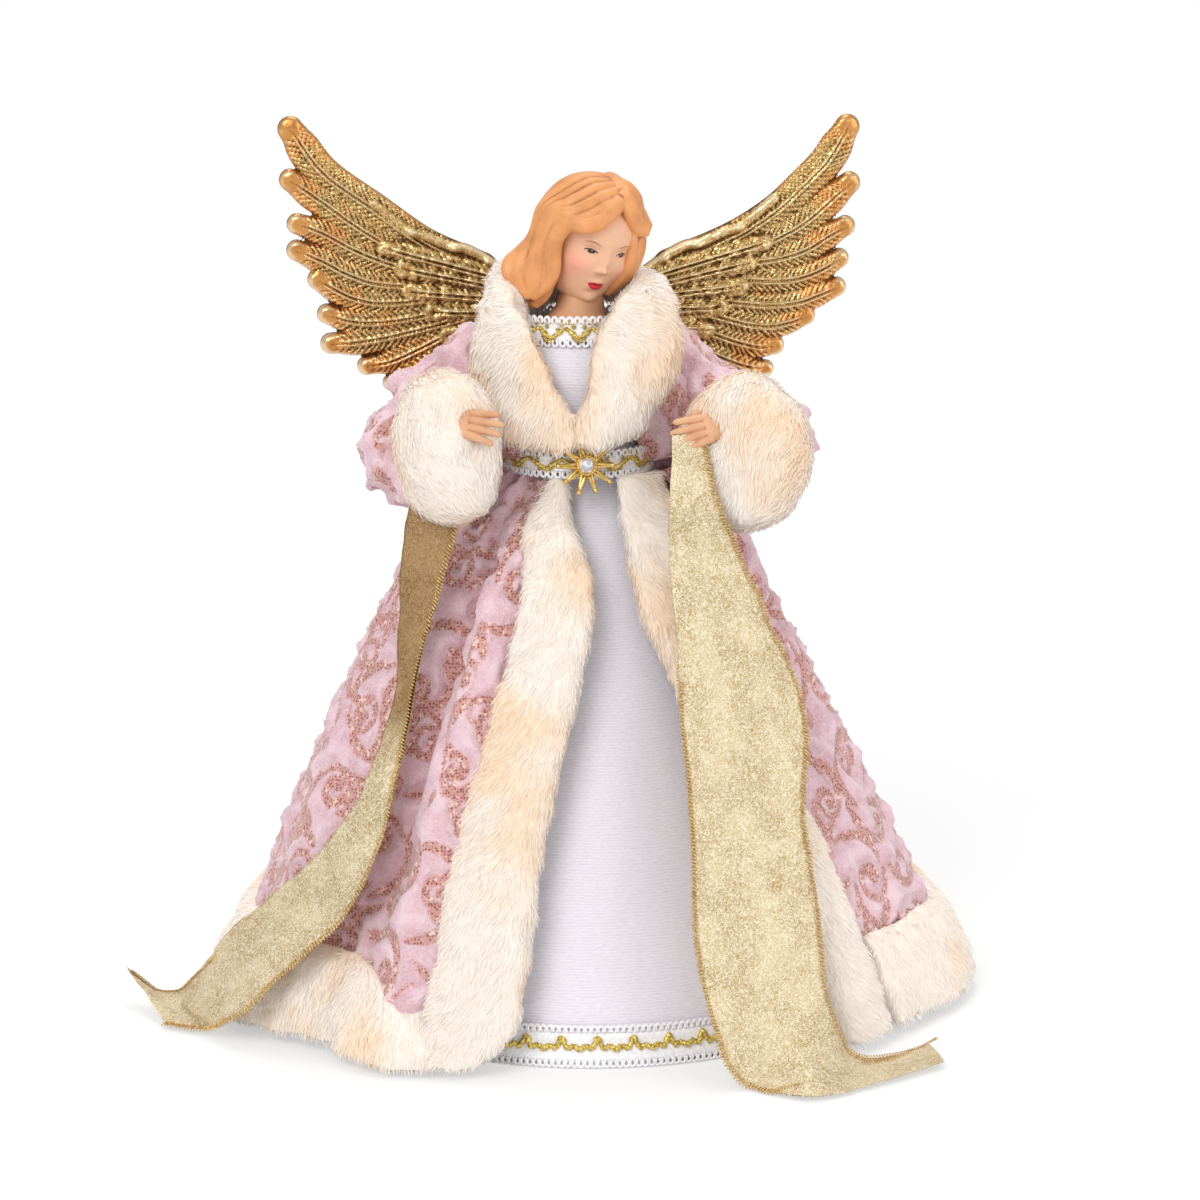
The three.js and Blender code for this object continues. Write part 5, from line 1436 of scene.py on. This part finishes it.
def make_wing(side, quills):
    """A wing as a relief of overlapping feathers, each quill over the one before and the coverts over all."""
    sign = -1 if side == "left" else 1
    xs, zs = np.arange(18, 106, WING_CELL), np.arange(199, 301, WING_CELL)
    grid = np.stack(np.meshgrid(xs, zs, indexing="ij"), axis=-1)
    shape = grid.shape[:2]
    flat = grid.reshape(-1, 2)
    upright = np.stack([flat[:, 0] * sign, 0 * flat[:, 0], flat[:, 1]], axis=-1)
    wrinkle = waves(upright, 3.2, 12, 3)
    inside, height, tips = np.full(len(flat), -9.0), np.zeros(len(flat)), np.full(len(flat), 99.0)

    def lay(within, level, tip):
        over = (within > 0) & (level > height)
        height[over] = level[over]
        tips[over] = np.broadcast_to(tip, tips.shape)[over]
        np.maximum(inside, within, out=inside)

    for k, (quill, half_width) in enumerate(quills):
        within, relief, tip = vane(flat, np.array(quill) * (sign, 1), half_width)
        lay(within, 0.32 * k + relief, tip)
    for k, (start, end, half_width) in enumerate(COVERTS):
        within, relief, _ = vane(flat, np.linspace(start, end, 4), half_width, barbs=0.2)
        lay(within, 1.6 + 0.35 * k + 1.15 * relief + 0.55 * wrinkle, 60.0)
    within, relief, _ = vane(flat, LEADING_EDGE, 1.9, barbs=0)
    lay(within, 0.8 + 1.1 * relief, tips)
    for x, z, reach in KNUCKLES:
        away = np.hypot(flat[:, 0] - x, flat[:, 1] - z)
        height += 1.3 * hump(away, reach)
        inside = np.maximum(inside, reach - away)
    height += 0.22 * wrinkle
    inside, height, tips = (a.reshape(shape) for a in (inside, height, tips))
    # A cell is kept if any corner is inside, and its outer corners move in to the outline
    cell = (inside[:-1, :-1] > 0) | (inside[1:, :-1] > 0) | (inside[1:, 1:] > 0) | (inside[:-1, 1:] > 0)
    slope = np.stack(np.gradient(inside, WING_CELL), axis=-1)
    steep = np.maximum(np.sum(slope**2, axis=-1, keepdims=True), 0.3)
    move = np.where((inside < 0)[..., None], -inside[..., None] * slope / steep, 0)
    moved = grid + np.clip(move, -1.3 * WING_CELL, 1.3 * WING_CELL)
    # How far each point lies below its neighbours, negative where it stands above them: for painted shade in
    # the hollows and painted highlight on the ridges
    box = sum(np.roll(np.roll(height, i, 0), j, 1) for i in (-3, 0, 3) for j in (-3, 0, 3)) / 9
    hollow = smooth(box - height, 0.0, 0.6) - 0.8 * smooth(height - box, 0.1, 0.7)
    copper = 1.05 * hump(tips, 16) + 0.6 * hump(np.maximum(inside, 0), 1.4)
    copper = copper + 0.65 * waves(upright, 9, 4).reshape(shape)
    crown = np.clip(height, 0.2, None) * smooth(inside, -0.2, 0.9)
    cup = 0.00035 * (grid[..., 0] - 20) ** 2
    front, back = (
        np.stack([sign * moved[..., 0], face + cup, moved[..., 1]], axis=-1).reshape(-1, 3)
        for face in (WING_FRONT - crown, WING_BACK + 0.4 * crown)
    )
    count = shape[0] * shape[1]
    number = np.arange(count).reshape(shape)
    i, j = np.nonzero(cell)
    a, b, c, d = number[i, j], number[i + 1, j], number[i + 1, j + 1], number[i, j + 1]
    faces = [np.stack([a, b, c, d], -1), np.stack([d, c, b, a], -1) + count]
    padded = np.pad(cell, 1)
    for di, dj, p, q in ((0, -1, a, b), (1, 0, b, c), (0, 1, c, d), (-1, 0, d, a)):
        bare = ~padded[i + 1 + di, j + 1 + dj]
        faces.append(np.stack([q[bare], p[bare], p[bare] + count, q[bare] + count], -1))
    faces = np.concatenate(faces)
    used, renumbered = np.unique(faces, return_inverse=True)
    points = np.concatenate([front, back])[used]
    made = mesh_object(f"{side}_feathered_wing", points, renumbered.reshape(faces.shape), WING)
    for key, value in (("hollow", hollow), ("copper", copper)):
        set_values(made, key, np.tile(value.ravel(), 2)[used])
    place(outward(made), "figure", f"{side}_wing")


def leafed_casting():
    """Moulded plastic in copper-gold metallic lacquer, its middle strewn with pale gold glitter."""
    made = new_material("glittered_gold_lacquer", {"Roughness": 0.3, "Metallic": 0.8})
    tree = made[1]
    where = add_node(tree, "ShaderNodeTexCoord").outputs["Object"]
    drift = object_noise(tree, 5, 3.0, 0.4, where)
    wander = sums(tree, "MULTIPLY", sums(tree, "SUBTRACT", drift, 0.5), 1.6)
    lacquer = stepped(tree, sums(tree, "ADD", attribute_of(tree, "copper"), wander), 0.15, 0.95)
    tone = blend_colour(tree, drift, "#B87436", "#E4A964")
    # Glitter flakes are 0.2 mm; they are drawn at 0.45 mm so that they show
    flakes = add_node(
        tree, "ShaderNodeTexVoronoi", {"Vector": where, "Scale": 1 / (0.45 * MM)}, feature="F1"
    ).outputs["Color"]
    flake = add_node(tree, "ShaderNodeSeparateColor", {0: flakes}).outputs[0]
    glitter = blend_colour(tree, stepped(tree, flake, 0.1, 0.9), "#A07A40", "#E2C284")
    colour = blend_colour(tree, lacquer, glitter, tone)
    hollow = attribute_of(tree, "hollow")
    # Dark brown in the hollows between feathers: painted shade; pale gold on their ridges: painted highlight
    colour = blend_colour(tree, stepped(tree, hollow, 0.0, 0.8, 0.0, 0.92), colour, "#4E3114")
    colour = blend_colour(tree, stepped(tree, hollow, -0.8, 0.0, 0.55, 0.0), colour, "#FBEBC4")
    spark = stepped(tree, flake, 0.2, 0.9, 0.55, 0.2)
    rough = add_node(tree, "ShaderNodeMix", {0: lacquer, 2: spark, 3: 0.3}).outputs[0]
    smoothed = sums(tree, "MULTIPLY", drift, 0.6)
    grit = add_node(tree, "ShaderNodeMix", {0: lacquer, 2: flake, 3: smoothed}).outputs[0]
    return finished(made, colour, grit, 0.3, 0.12, Roughness=rough)


# Head, hair and hands

HEAD_PLACE = np.array([-1.7, -3.0, 260.2])
HEAD_TILT, HEAD_NOD, HEAD_TURN = 10.5, 14.2, 15.5
HEAD_HALF_HEIGHT = 17.9
SKIN_TONE = "#E6B594"
SKULL_HALF_WIDTH = 14.0
SKULL_HALF_DEPTH = 17.0
EYE_ANGLE = 20.5
FACE_OUTLINE = (
    (-1, 0.22), (-0.94, 0.46), (-0.86, 0.6), (-0.7, 0.74), (-0.45, 0.87), (-0.1, 0.96), (0.3, 1),
    (0.6, 0.9), (0.82, 0.66), (0.95, 0.36), (1, 0.12),
)
# Relief of the face: [angle, level, spread in degrees, spread in levels, rise in mm], on both sides where
# the angle isn't 0
FACE_RELIEF = (
    (0, -0.33, 5.4, 0.06, 2.2), (0, -0.2, 4.6, 0.12, 1.4), (0, -0.03, 6.0, 0.14, 0.6),
    (6.5, -0.365, 3.2, 0.04, 0.6), (0, 0.35, 34, 0.3, 0.5),
    (0, -0.555, 9.5, 0.03, 0.75), (0, -0.64, 7.5, 0.035, 0.95), (0, -0.595, 11, 0.013, -0.55),
    (0, -0.47, 4, 0.05, -0.3), (0, -0.73, 11, 0.04, -0.7), (0, -0.87, 15, 0.09, 1.5),
    (EYE_ANGLE, 0.03, 8.8, 0.1, -1.0), (EYE_ANGLE, 0.01, 6.4, 0.06, 0.95), (33, -0.32, 17, 0.2, 1.7),
    (17, 0.2, 16, 0.1, 0.2),
)


def turned_head(points):
    """Head points, modelled looking along -Y about the origin, in their place on the figure."""
    a, b, c = np.radians([HEAD_TILT, HEAD_NOD, HEAD_TURN])
    about_y = np.array([[np.cos(a), 0, np.sin(a)], [0, 1, 0], [-np.sin(a), 0, np.cos(a)]])
    about_x = np.array([[1, 0, 0], [0, np.cos(b), -np.sin(b)], [0, np.sin(b), np.cos(b)]])
    about_z = np.array([[np.cos(c), -np.sin(c), 0], [np.sin(c), np.cos(c), 0], [0, 0, 1]])
    return points @ (about_z @ about_x @ about_y).T + HEAD_PLACE


def patch(across, up):
    """1 in the middle of a soft round patch, from two distances as shares of its reach."""
    return np.exp(-(across**2) - up**2)


def painted_face(angle, z):
    """Face paint at each point of the head: eyes, brows, lips and blush, over the plain skin."""
    paint = np.empty(angle.shape + (4,))
    paint[:] = srgb(SKIN_TONE)

    def lay(colour, cover):
        cover = np.clip(cover, 0, 1)[..., None]
        paint[:] = paint * (1 - cover) + np.array(srgb(colour)) * cover

    for side in (-1, 1):
        # x is in mm from the eye's middle, outwards
        x = (angle * side - EYE_ANGLE) * 0.285
        lay("#F0938A", 0.55 * patch((angle * side - 34) * 0.29 / 3.6, (z + 5.2) / 3.2))
        # A soft brown patch over each eye: painted shade of the lid
        lay("#C98B66", 0.35 * patch(x / 3.4, (z - 1.5) / 1.5))
        top = 0.58 - 0.12 * x**2 + 0.04 * x
        base = -0.74 + 0.11 * x**2
        # White of the eye, iris, pupil and highlight
        open_eye = smooth(top - z, 0, 0.25) * smooth(z - base, 0, 0.25) * smooth(2.35 - np.abs(x), 0, 0.3)
        lay("#E6D3C4", open_eye)
        iris = np.hypot(x - 0.15 * side, z + 0.02)
        lay("#33211A", open_eye * smooth(1.45 - iris, 0, 0.25))
        lay("#120B09", open_eye * smooth(0.85 - iris, 0, 0.2))
        lay("#FFFFFF", open_eye * smooth(0.26 - np.hypot(x + 0.3, z - 0.3), 0, 0.15))
        # Upper lashes, lower lid, painted shade in the crease over the eye, and the brow
        lash = smooth(0.4 - np.abs(z - top - 0.05), 0, 0.22) * smooth(2.7 - np.abs(x), 0, 0.6)
        lay("#2E1A12", 0.95 * lash)
        lay("#9A6244", 0.5 * smooth(0.2 - np.abs(z - base), 0, 0.15) * smooth(2.1 - np.abs(x), 0, 0.6))
        crease = 0.55 * smooth(0.22 - np.abs(z - top - 1.0), 0, 0.2) * smooth(2.3 - np.abs(x), 0, 0.8)
        lay("#A8683F", crease)
        arch = 3.35 - 0.085 * (x - 0.4) ** 2
        brow = smooth(0.4 - 0.05 * np.abs(x) - np.abs(z - arch), 0, 0.25) * smooth(3.3 - np.abs(x), 0, 1.2)
        lay("#855232", 0.8 * brow)
    # Lips, the line between them, and the shadow under the nose
    x = angle * 0.3
    upper = -9.8 - 0.06 * x**2 - 0.3 * hump(x, 0.7)
    lower = -12.5 + 0.12 * x**2
    lips = smooth(upper - z, 0, 0.3) * smooth(z - lower, 0, 0.3) * smooth(3.7 - np.abs(x), 0, 0.4)
    lay("#CC2440", lips)
    lay("#8E1228", 0.75 * lips * smooth(0.22 - np.abs(z + 10.75 + 0.02 * x**2), 0, 0.18))
    lay("#B87A58", 0.4 * patch(x / 1.9, (z + 7.4) / 0.5))
    return paint


def make_head():
    # The face's grid is finer than the back's
    angle = np.concatenate([np.linspace(-62, 62, 210), np.linspace(62, 298, 70)[1:-1]])
    away = np.where(angle > 180, angle - 360, angle)
    levels = (np.linspace(-1, -0.96, 5), np.linspace(-0.955, 0.4, 190), np.linspace(0.42, 1, 34))
    away, level = np.meshgrid(away, np.concatenate(levels))
    relief = 0
    for at, middle, spread_angle, spread_level, rise in FACE_RELIEF:
        for side in (-1, 1) if at else (1,):
            relief = relief + rise * patch((away - side * at) / spread_angle, (level - middle) / spread_level)
    outline = cat_rom(FACE_OUTLINE, 300)
    width = np.interp(level, outline[:, 0], outline[:, 1])
    radius = ellipse_radius(away, SKULL_HALF_WIDTH * width, SKULL_HALF_DEPTH * (0.78 * width + 0.22))
    points = polar(away, radius + relief, level * HEAD_HALF_HEIGHT)
    points[..., 2] -= 2.2 * smooth(-points[..., 2], 6.5, 17)
    points, faces = capped(points, [points[0].mean(0), points[-1].mean(0)])
    made = outward(mesh_object("doll_head", turned_head(points), faces, FACE))
    paint = painted_face(away, level * HEAD_HALF_HEIGHT).reshape(-1, 4)
    paint = np.concatenate([paint, [srgb(SKIN_TONE)] * 2])
    set_values(made, "paint", paint, "FLOAT_COLOR")
    place(made, "figure", "head")

    # Neck, wider where it meets the shoulders inside the gown
    line = cat_rom([(-5, -3, 226), (-5, -3, 233), (-3.8, -2.8, 241), (-2.2, -1.5, 251)], 30)
    reach = straight(((0, 14.5), (0.22, 12.4), (0.4, 8.4), (0.65, 7.3), (1, 7.6)), np.linspace(0, 1, 30))
    neck = mesh_object("doll_neck", *tube_parts(line, reach, 48, up=(0, 1, 0)), SKIN)
    place(outward(neck), "figure")


def face_paint():
    """Vinyl doll's face, sprayed in skin tone and hand painted: matt, with crisp eyes and lips."""
    made = new_material("hand_painted_vinyl", {"Roughness": 0.48, **VINYL})
    tree = made[1]
    uneven = stepped(tree, object_noise(tree, 9, 2.0, 0.3), 0.4, 0.8, 0.0, 0.2)
    colour = blend_colour(tree, uneven, attribute_of(tree, "paint", "Color"), "#D99A74")
    return finished(made, colour, object_noise(tree, 0.5, 1.0, 0.3), 0.06, 0.2)


# Hair guides, as pixels of the photograph and a depth along Y in mm
SWEEP_LOW = (
    (620, 201, -17), (611, 213, -20.5), (599, 222, -22), (585, 226, -22), (572, 223, -20),
    (562, 229, -17.5), (555, 241, -15.5), (553, 256, -14), (553, 270, -13.5), (549, 282, -13),
    (541, 292, -12.5), (533, 299, -12),
)
SWEEP_TOP = (
    (606, 180, 0), (592, 178, 0), (576, 180, 0), (562, 187, -1), (551, 198, -1), (542, 212, -2),
    (538, 226, -3), (532, 240, -4), (520, 253, -5), (509, 263, -7), (508, 275, -9), (517, 288, -11),
    (528, 297, -12),
)
UNDER_IN = ((550, 255, -8), (548, 280, -8), (541, 296, -8), (533, 306, -8))
UNDER_OUT = ((540, 255, -2), (534, 280, -3), (529, 296, -4), (526, 306, -5))
FLICK_IN = ((623, 200, -17), (629, 212, -17.5), (634, 224, -15.5), (641, 231, -13), (648.5, 233, -12))
FLICK_OUT = ((606, 181, -4), (622, 187, -6), (633, 199, -8), (640, 212, -10), (649, 226, -11))
PARTING = ((607, 179, -2), (617, 187, -9), (621, 198, -15.5))
FALL_IN = ((632, 232, -13), (631, 248, -12), (628, 262, -11), (619, 278, -9), (606, 294, -7))
FALL_OUT = ((637, 222, -5), (640.5, 240, -5), (637, 258, -5), (629, 272, -4), (614, 290, -3))


def placed_by_pixel(rows):
    """Points in mm from photograph pixels and depths along Y."""
    eye = np.array(CAMERA_PLACE) / MM
    ahead = unit(np.array(CAMERA_TARGET) / MM - eye)
    right = unit(np.cross(ahead, (0, 0, 1)))
    over = np.cross(right, ahead)
    focal = CAMERA_LENS / SENSOR_WIDTH * 1200
    points = []
    for across, down, depth in rows:
        ray = ahead + right * (across - 600) / focal - over * (down - 600) / focal
        points.append(eye + ray * (depth - eye[1]) / ray[1])
    return np.array(points)


BULGE_ALONG = ((0, 0.3), (0.15, 1), (0.4, 0.9), (0.6, 0.3), (1, 0.1))


def locks_between(first, second, count, reach, bulge, ends):
    """Overlapping locks that pass from one guide to another, each a tapered tube.

    reach is a lock's radius and bulge how far the middle ones stand out, in mm; ends are the shares of the
    radius that are left at the two ends.
    """
    a, b = cat_rom(placed_by_pixel(first), 48), cat_rom(placed_by_pixel(second), 48)
    run = np.linspace(0, 1, len(a))
    taper = smooth(run, -0.25, 0.2) * (1 - ends[0]) + ends[0]
    taper = np.minimum(taper, 1 - (1 - ends[1]) * smooth(run, 0.7, 1.05))
    parts = []
    for k, share in enumerate(np.linspace(0, 1, count)):
        line = a * (1 - share) + b * share
        girth = reach * (1 + 0.12 * math.sin(2.4 * k + count))
        lift = bulge * math.sin(math.pi * share) * straight(BULGE_ALONG, run)
        line = line + lift[:, None] * unit(line - HEAD_PLACE)
        parts.append(tube_parts(line, girth * taper, 12, up=(0.1, 1, 0.2)))
    return parts


# Sets of locks: two guides, number of locks, radius and bulge in mm, and the shares left at the ends
LOCKS = (
    (SWEEP_LOW, SWEEP_TOP, 8, 2.6, 4.2, (0.75, 0.4)),
    (UNDER_IN, UNDER_OUT, 3, 2.8, 0.5, (0.8, 0.6)),
    (FLICK_IN, FLICK_OUT, 6, 2.3, 3.0, (0.5, 0.6)),
    (FALL_IN, FALL_OUT, 4, 2.4, 0.4, (0.8, 0.5)),
    (PARTING, PARTING, 1, 3.0, 0.0, (0.6, 0.5)),
)
BACK_LOCK_GIRTH = ((0, 0.6), (0.2, 1), (0.8, 1), (1, 0.7))


def make_hair():
    parts = []
    for row in LOCKS:
        parts += locks_between(*row)
    # Straight locks over the back of the skull
    reach = np.array([SKULL_HALF_WIDTH + 1.6, SKULL_HALF_DEPTH + 1.2, HEAD_HALF_HEIGHT + 1.5])
    rise = np.radians(np.linspace(84, -52, 22))
    girth = 3.2 * straight(BACK_LOCK_GIRTH, np.linspace(0, 1, 22))
    for turn in np.radians(np.linspace(-92, -268, 15)):
        way = np.stack([np.cos(rise) * np.sin(turn), -np.cos(rise) * np.cos(turn), np.sin(rise)], axis=-1)
        line = turned_head(way * reach) + np.array([0, 1, 0]) * smooth(rise, 0.2, -0.9)[:, None]
        parts.append(tube_parts(line, girth, 12, up=(0.3, 0.2, 1)))
    made = remeshed(outward(mesh_object("sculpted_hair", *joined(parts), HAIR)), 0.48)
    set_hollows(made, 14)
    place(made, "figure", "hair")


# Each hand: its palm's middle, the way the fingers point, the way the palm faces, and the arm's way
HANDS = {
    "left": ((-56.8, -49.2, 206.0), (0.95, -0.3, 0), (0.25, 0.75, -0.6), (0.55, -0.8, 0.15)),
    "right": ((39.2, -48.0, 203.1), (-0.95, -0.22, -0.1), (-0.25, 0.8, -0.5), (-0.6, -0.78, 0.12)),
}
# Fingers: place across the palm, length and curl in mm, spread
FINGERS = ((-3.7, 11.4, 2.4, -1.0), (-1.25, 13.0, 3.4, -0.2), (1.2, 12.2, 4.6, 0.5), (3.6, 9.8, 5.0, 1.3))


PALM_GIRTH = ((0, 0.55), (0.3, 0.9), (0.7, 1.0), (0.92, 0.94), (1, 0.7))


def make_hand(side):
    """A doll's hand: wrist, palm and slim, separate fingers that curl in."""
    base, aim, over, arm = (np.array(row, float) for row in HANDS[side])
    aim, over, arm = unit(aim), unit(over), unit(arm)
    across = unit(np.cross(over, aim))
    across *= -np.sign(across[2])
    over = unit(np.cross(aim, across)) * np.sign(np.dot(np.cross(aim, across), over))

    def spot(along, sideways, lift):
        return base + np.outer(along, aim) + np.outer(sideways, across) + np.outer(lift, over)

    run = np.linspace(0, 1, 14)
    wrist = np.linspace(base - 11 * arm, spot([0.5], [0], [0])[0], 8)
    palm = spot(np.linspace(-3, 9.6, 14), 0 * run, 0.5 * np.sin(np.pi * run))
    parts = [
        tube_parts(wrist, np.linspace(3.7, 3.4, 8), 14, up=over, flat=0.85),
        tube_parts(palm, 4.7 * straight(PALM_GIRTH, run), 18, up=over, flat=0.46),
    ]
    tip = np.sqrt(np.clip(1 - (np.maximum(run - 0.86, 0) / 0.15) ** 2, 0.02, 1))
    knuckles = 1 + 0.07 * hump(run - 0.42, 0.07) + 0.05 * hump(run - 0.7, 0.06)
    for start, length, curl, spread in FINGERS:
        line = spot(7.5 + length * run, start + spread * run, curl * run**1.6)
        parts.append(tube_parts(line, (1.46 - 0.34 * run) * knuckles * tip, 10, up=over))
    thumb = cat_rom(spot([0.5, 4.0, 8.0, 11.5], [-2.6, -5.4, -6.6, -6.2], [0.4, 1.8, 3.2, 4.4]), 14)
    parts.append(tube_parts(thumb, (1.75 - 0.5 * run) * tip, 10, up=over))
    made = remeshed(outward(mesh_object(f"{side}_doll_hand", *joined(parts), SKIN)), 0.26)
    set_hollows(made, 16)
    place(made, f"{side}_arm", f"{side}_hand")


BROOCH_PLACE = (-6.4, -31.05, 187.6)
BROOCH_LEAN = -14
BROOCH_TURN = 18
RIM_RADIUS = 3.15
RIM_BEADS = 16
RAYS = 10
LONG_RAY = 10.3
SHORT_RAY = 9.7
RAY_FOOT = 2.9
BALL_RADIUS = 0.95


def make_brooch():
    """A cast star: ten rays, each a V of two round wires that meet in a ball, on a rimmed cup."""
    cup = np.array([(0, 0.9, 0), (0, 0.5, 0), (0, -0.6, 0), (0, -1.1, 0)])
    turn = np.linspace(0, 2 * np.pi, 40, endpoint=False)
    rim = np.stack([RIM_RADIUS * np.sin(turn), 0 * turn - 1.15, RIM_RADIUS * np.cos(turn)], axis=-1)
    parts = [tube_parts(cup, (2.9, 3.4, 3.4, 3.0), 40), tube_parts(rim, 0.36, 8, closed=True, up=(0, 1, 0))]
    for k in range(RIM_BEADS):
        a = 2 * np.pi * k / RIM_BEADS
        bead = np.array([(RIM_RADIUS * np.sin(a), -1.1 - s, RIM_RADIUS * np.cos(a)) for s in (0, 0.35, 0.6)])
        parts.append(tube_parts(bead, (0.34, 0.3, 0.12), 8, up=(1, 0, 0.2)))
    run = np.linspace(0, 1, 9)
    swell = np.sin(np.pi * run)
    for k in range(RAYS):
        a = np.radians(360 / RAYS * k + BROOCH_TURN)
        reach = LONG_RAY if k % 2 else SHORT_RAY
        tip = np.array([np.sin(a), -0.02, np.cos(a)]) * (reach - BALL_RADIUS)
        for b in (a - 0.23, a + 0.23):
            foot = np.array([np.sin(b) * RAY_FOOT, 0.1, np.cos(b) * RAY_FOOT])
            line = foot + (tip - foot) * run[:, None]
            line = line + np.outer(0.35 * swell, (np.sin(b), 0, np.cos(b))) * 0.4
            parts.append(tube_parts(line, 0.52 + 0.12 * swell, 8, up=(0, 1, 0)))
        out = tip / np.linalg.norm(tip)
        ball = tip + np.outer(np.cos(np.pi * run), -out) * BALL_RADIUS
        girth = BALL_RADIUS * np.sin(np.pi * np.clip(run, 0.02, 0.98))
        parts.append(tube_parts(ball, girth, 12, up=(0, 1, 0)))
    points, faces = joined(parts)
    x, y, z = points.T
    c, s = math.cos(math.radians(BROOCH_LEAN)), math.sin(math.radians(BROOCH_LEAN))
    points = np.stack([x, y * c - z * s, y * s + z * c], axis=-1)
    made = outward(mesh_object("cast_star", points + BROOCH_PLACE, faces, GOLD))
    place(made, "figure", "star_brooch")


# Stage


def aimed(made, place_in_metres, target):
    """Sets a camera or a lamp at its place, looking at its target."""
    made.location = place_in_metres
    look = Vector(target) - Vector(place_in_metres)
    made.rotation_euler = look.to_track_quat("-Z", "Y").to_euler()
    return made


def make_camera():
    lens = bpy.data.cameras.new("photo_camera")
    lens.lens = CAMERA_LENS
    lens.sensor_width = SENSOR_WIDTH
    lens.clip_end = 50
    bpy.context.scene.camera = aimed(linked("photo_camera", lens), CAMERA_PLACE, CAMERA_TARGET)


def area_light(name, place_in_metres, target, size, power):
    lamp = bpy.data.lights.new(name, "AREA")
    lamp.shape = "DISK"
    lamp.size = size
    lamp.energy = power
    aimed(linked(name, lamp), place_in_metres, target)


def paper_floor():
    """Matt white paper: it keeps the soft shadow near the object and is plain white further out."""
    material = bpy.data.materials.new("white_paper_sweep")
    material.use_nodes = True
    tree = material.node_tree
    tree.nodes.clear()
    paper = add_node(tree, "ShaderNodeBsdfDiffuse", {"Color": (0.94, 0.94, 0.94, 1)})
    white = add_node(tree, "ShaderNodeEmission", {"Color": (1, 1, 1, 1), "Strength": 1.0})
    where = add_node(tree, "ShaderNodeTexCoord").outputs["Object"]
    away = add_node(tree, "ShaderNodeVectorMath", {0: where}, operation="LENGTH").outputs["Value"]
    far = stepped(tree, away, 0.2, 0.42, 0.5, 1.0)
    paths = add_node(tree, "ShaderNodeLightPath").outputs
    seen = sums(tree, "MAXIMUM", paths["Is Camera Ray"], paths["Is Glossy Ray"])
    seen = sums(tree, "MAXIMUM", seen, paths["Is Transmission Ray"])
    shown = sums(tree, "MULTIPLY", far, seen)
    mixed = add_node(tree, "ShaderNodeMixShader", {0: shown, 1: paper.outputs[0], 2: white.outputs[0]})
    add_node(tree, "ShaderNodeOutputMaterial", {"Surface": mixed.outputs[0]})
    return material


def make_stage():
    turn = np.linspace(0, 2 * np.pi, 96, endpoint=False)
    ring = np.stack([14000 * np.cos(turn), 14000 * np.sin(turn), 0 * turn - 0.05], axis=-1)
    floor = mesh_object("paper_sweep", ring, [tuple(range(96))], paper_floor(), smooth_faces=False)
    area_light("key_light", (-1.1, -1.6, 1.7), (0, 0, 0.14), 1.3, 26)
    area_light("fill_light", (1.6, -1.3, 0.9), (0, 0, 0.14), 1.6, 11)
    area_light("top_light", (0.1, 0.6, 2.0), (0, 0, 0.1), 1.2, 12)
    world = bpy.data.worlds.new("studio")
    world.use_nodes = True
    bpy.context.scene.world = world
    tree = world.node_tree
    tree.nodes.clear()
    room = add_node(tree, "ShaderNodeBackground", {"Color": (1, 1, 1, 1), "Strength": 0.62})
    seen = add_node(tree, "ShaderNodeBackground", {"Color": (1, 1, 1, 1), "Strength": 1.0})
    paths = add_node(tree, "ShaderNodeLightPath").outputs
    direct = sums(tree, "MAXIMUM", paths["Is Camera Ray"], paths["Is Transmission Ray"])
    mixed = add_node(tree, "ShaderNodeMixShader", {0: direct, 1: room.outputs[0], 2: seen.outputs[0]})
    add_node(tree, "ShaderNodeOutputWorld", {"Surface": mixed.outputs[0]})
    bpy.context.scene.view_settings.view_transform = "Standard"


def dress_solids():
    """Gives each solid that stays in view its finish."""
    for node, finish in (
        ("cone_core", CARD), ("torso_form", FOAM), ("wing_block", FOAM), ("shoulder_wire", WIRE),
        ("left_arm_wire", WIRE), ("right_arm_wire", WIRE), ("brooch_stone", STONE),
    ):
        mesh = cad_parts[node].data
        mesh.materials.clear()
        mesh.materials.append(finish)


FUR = faux_fur()
PLUSH = embossed_plush()
KNIT = knit()
RIBBON = metallic_ribbon()
THREAD = gold_thread()
BRAID_GOLD = gold_braid()
BRAID_WHITE = white_braid()
GOLD = plated_gold()
STONE = crystal()
SKIN = painted_vinyl("painted_vinyl_skin", "#DBA982", "#B0744C", 0.5, 0.1)
HAIR = painted_vinyl("painted_vinyl_hair", "#E29C62", "#9A5628", 0.42, 0.5)
WING = leafed_casting()
FACE = face_paint()
CARD = greyboard()
FOAM = white_foam()
WIRE = steel_wire()
PILE = fur_tree()
ROWS = row_tree()
TUFT = tuft_item()
PICOT = loop_item("picot_item", 0.95, 2.0, 0.56)
SMALL_PICOT = loop_item("small_picot_item", 0.6, 1.2, 0.32, sides=4, steps=6)
STITCH = stitch_item("stitch_item", 2.0, 0.28)

make_camera()
make_stage()
make_fur()
make_coat()
make_coat_bodice()
make_sleeve("left", 21)
make_sleeve("right", 22)
make_gown()
make_trims()
make_ribbons()
make_wing("left", LEFT_QUILLS)
make_wing("right", RIGHT_QUILLS)
make_head()
make_hair()
make_hand("left")
make_hand("right")
make_brooch()
dress_solids()
for item in (TUFT, PICOT, SMALL_PICOT, STITCH):
    bpy.data.objects.remove(item)
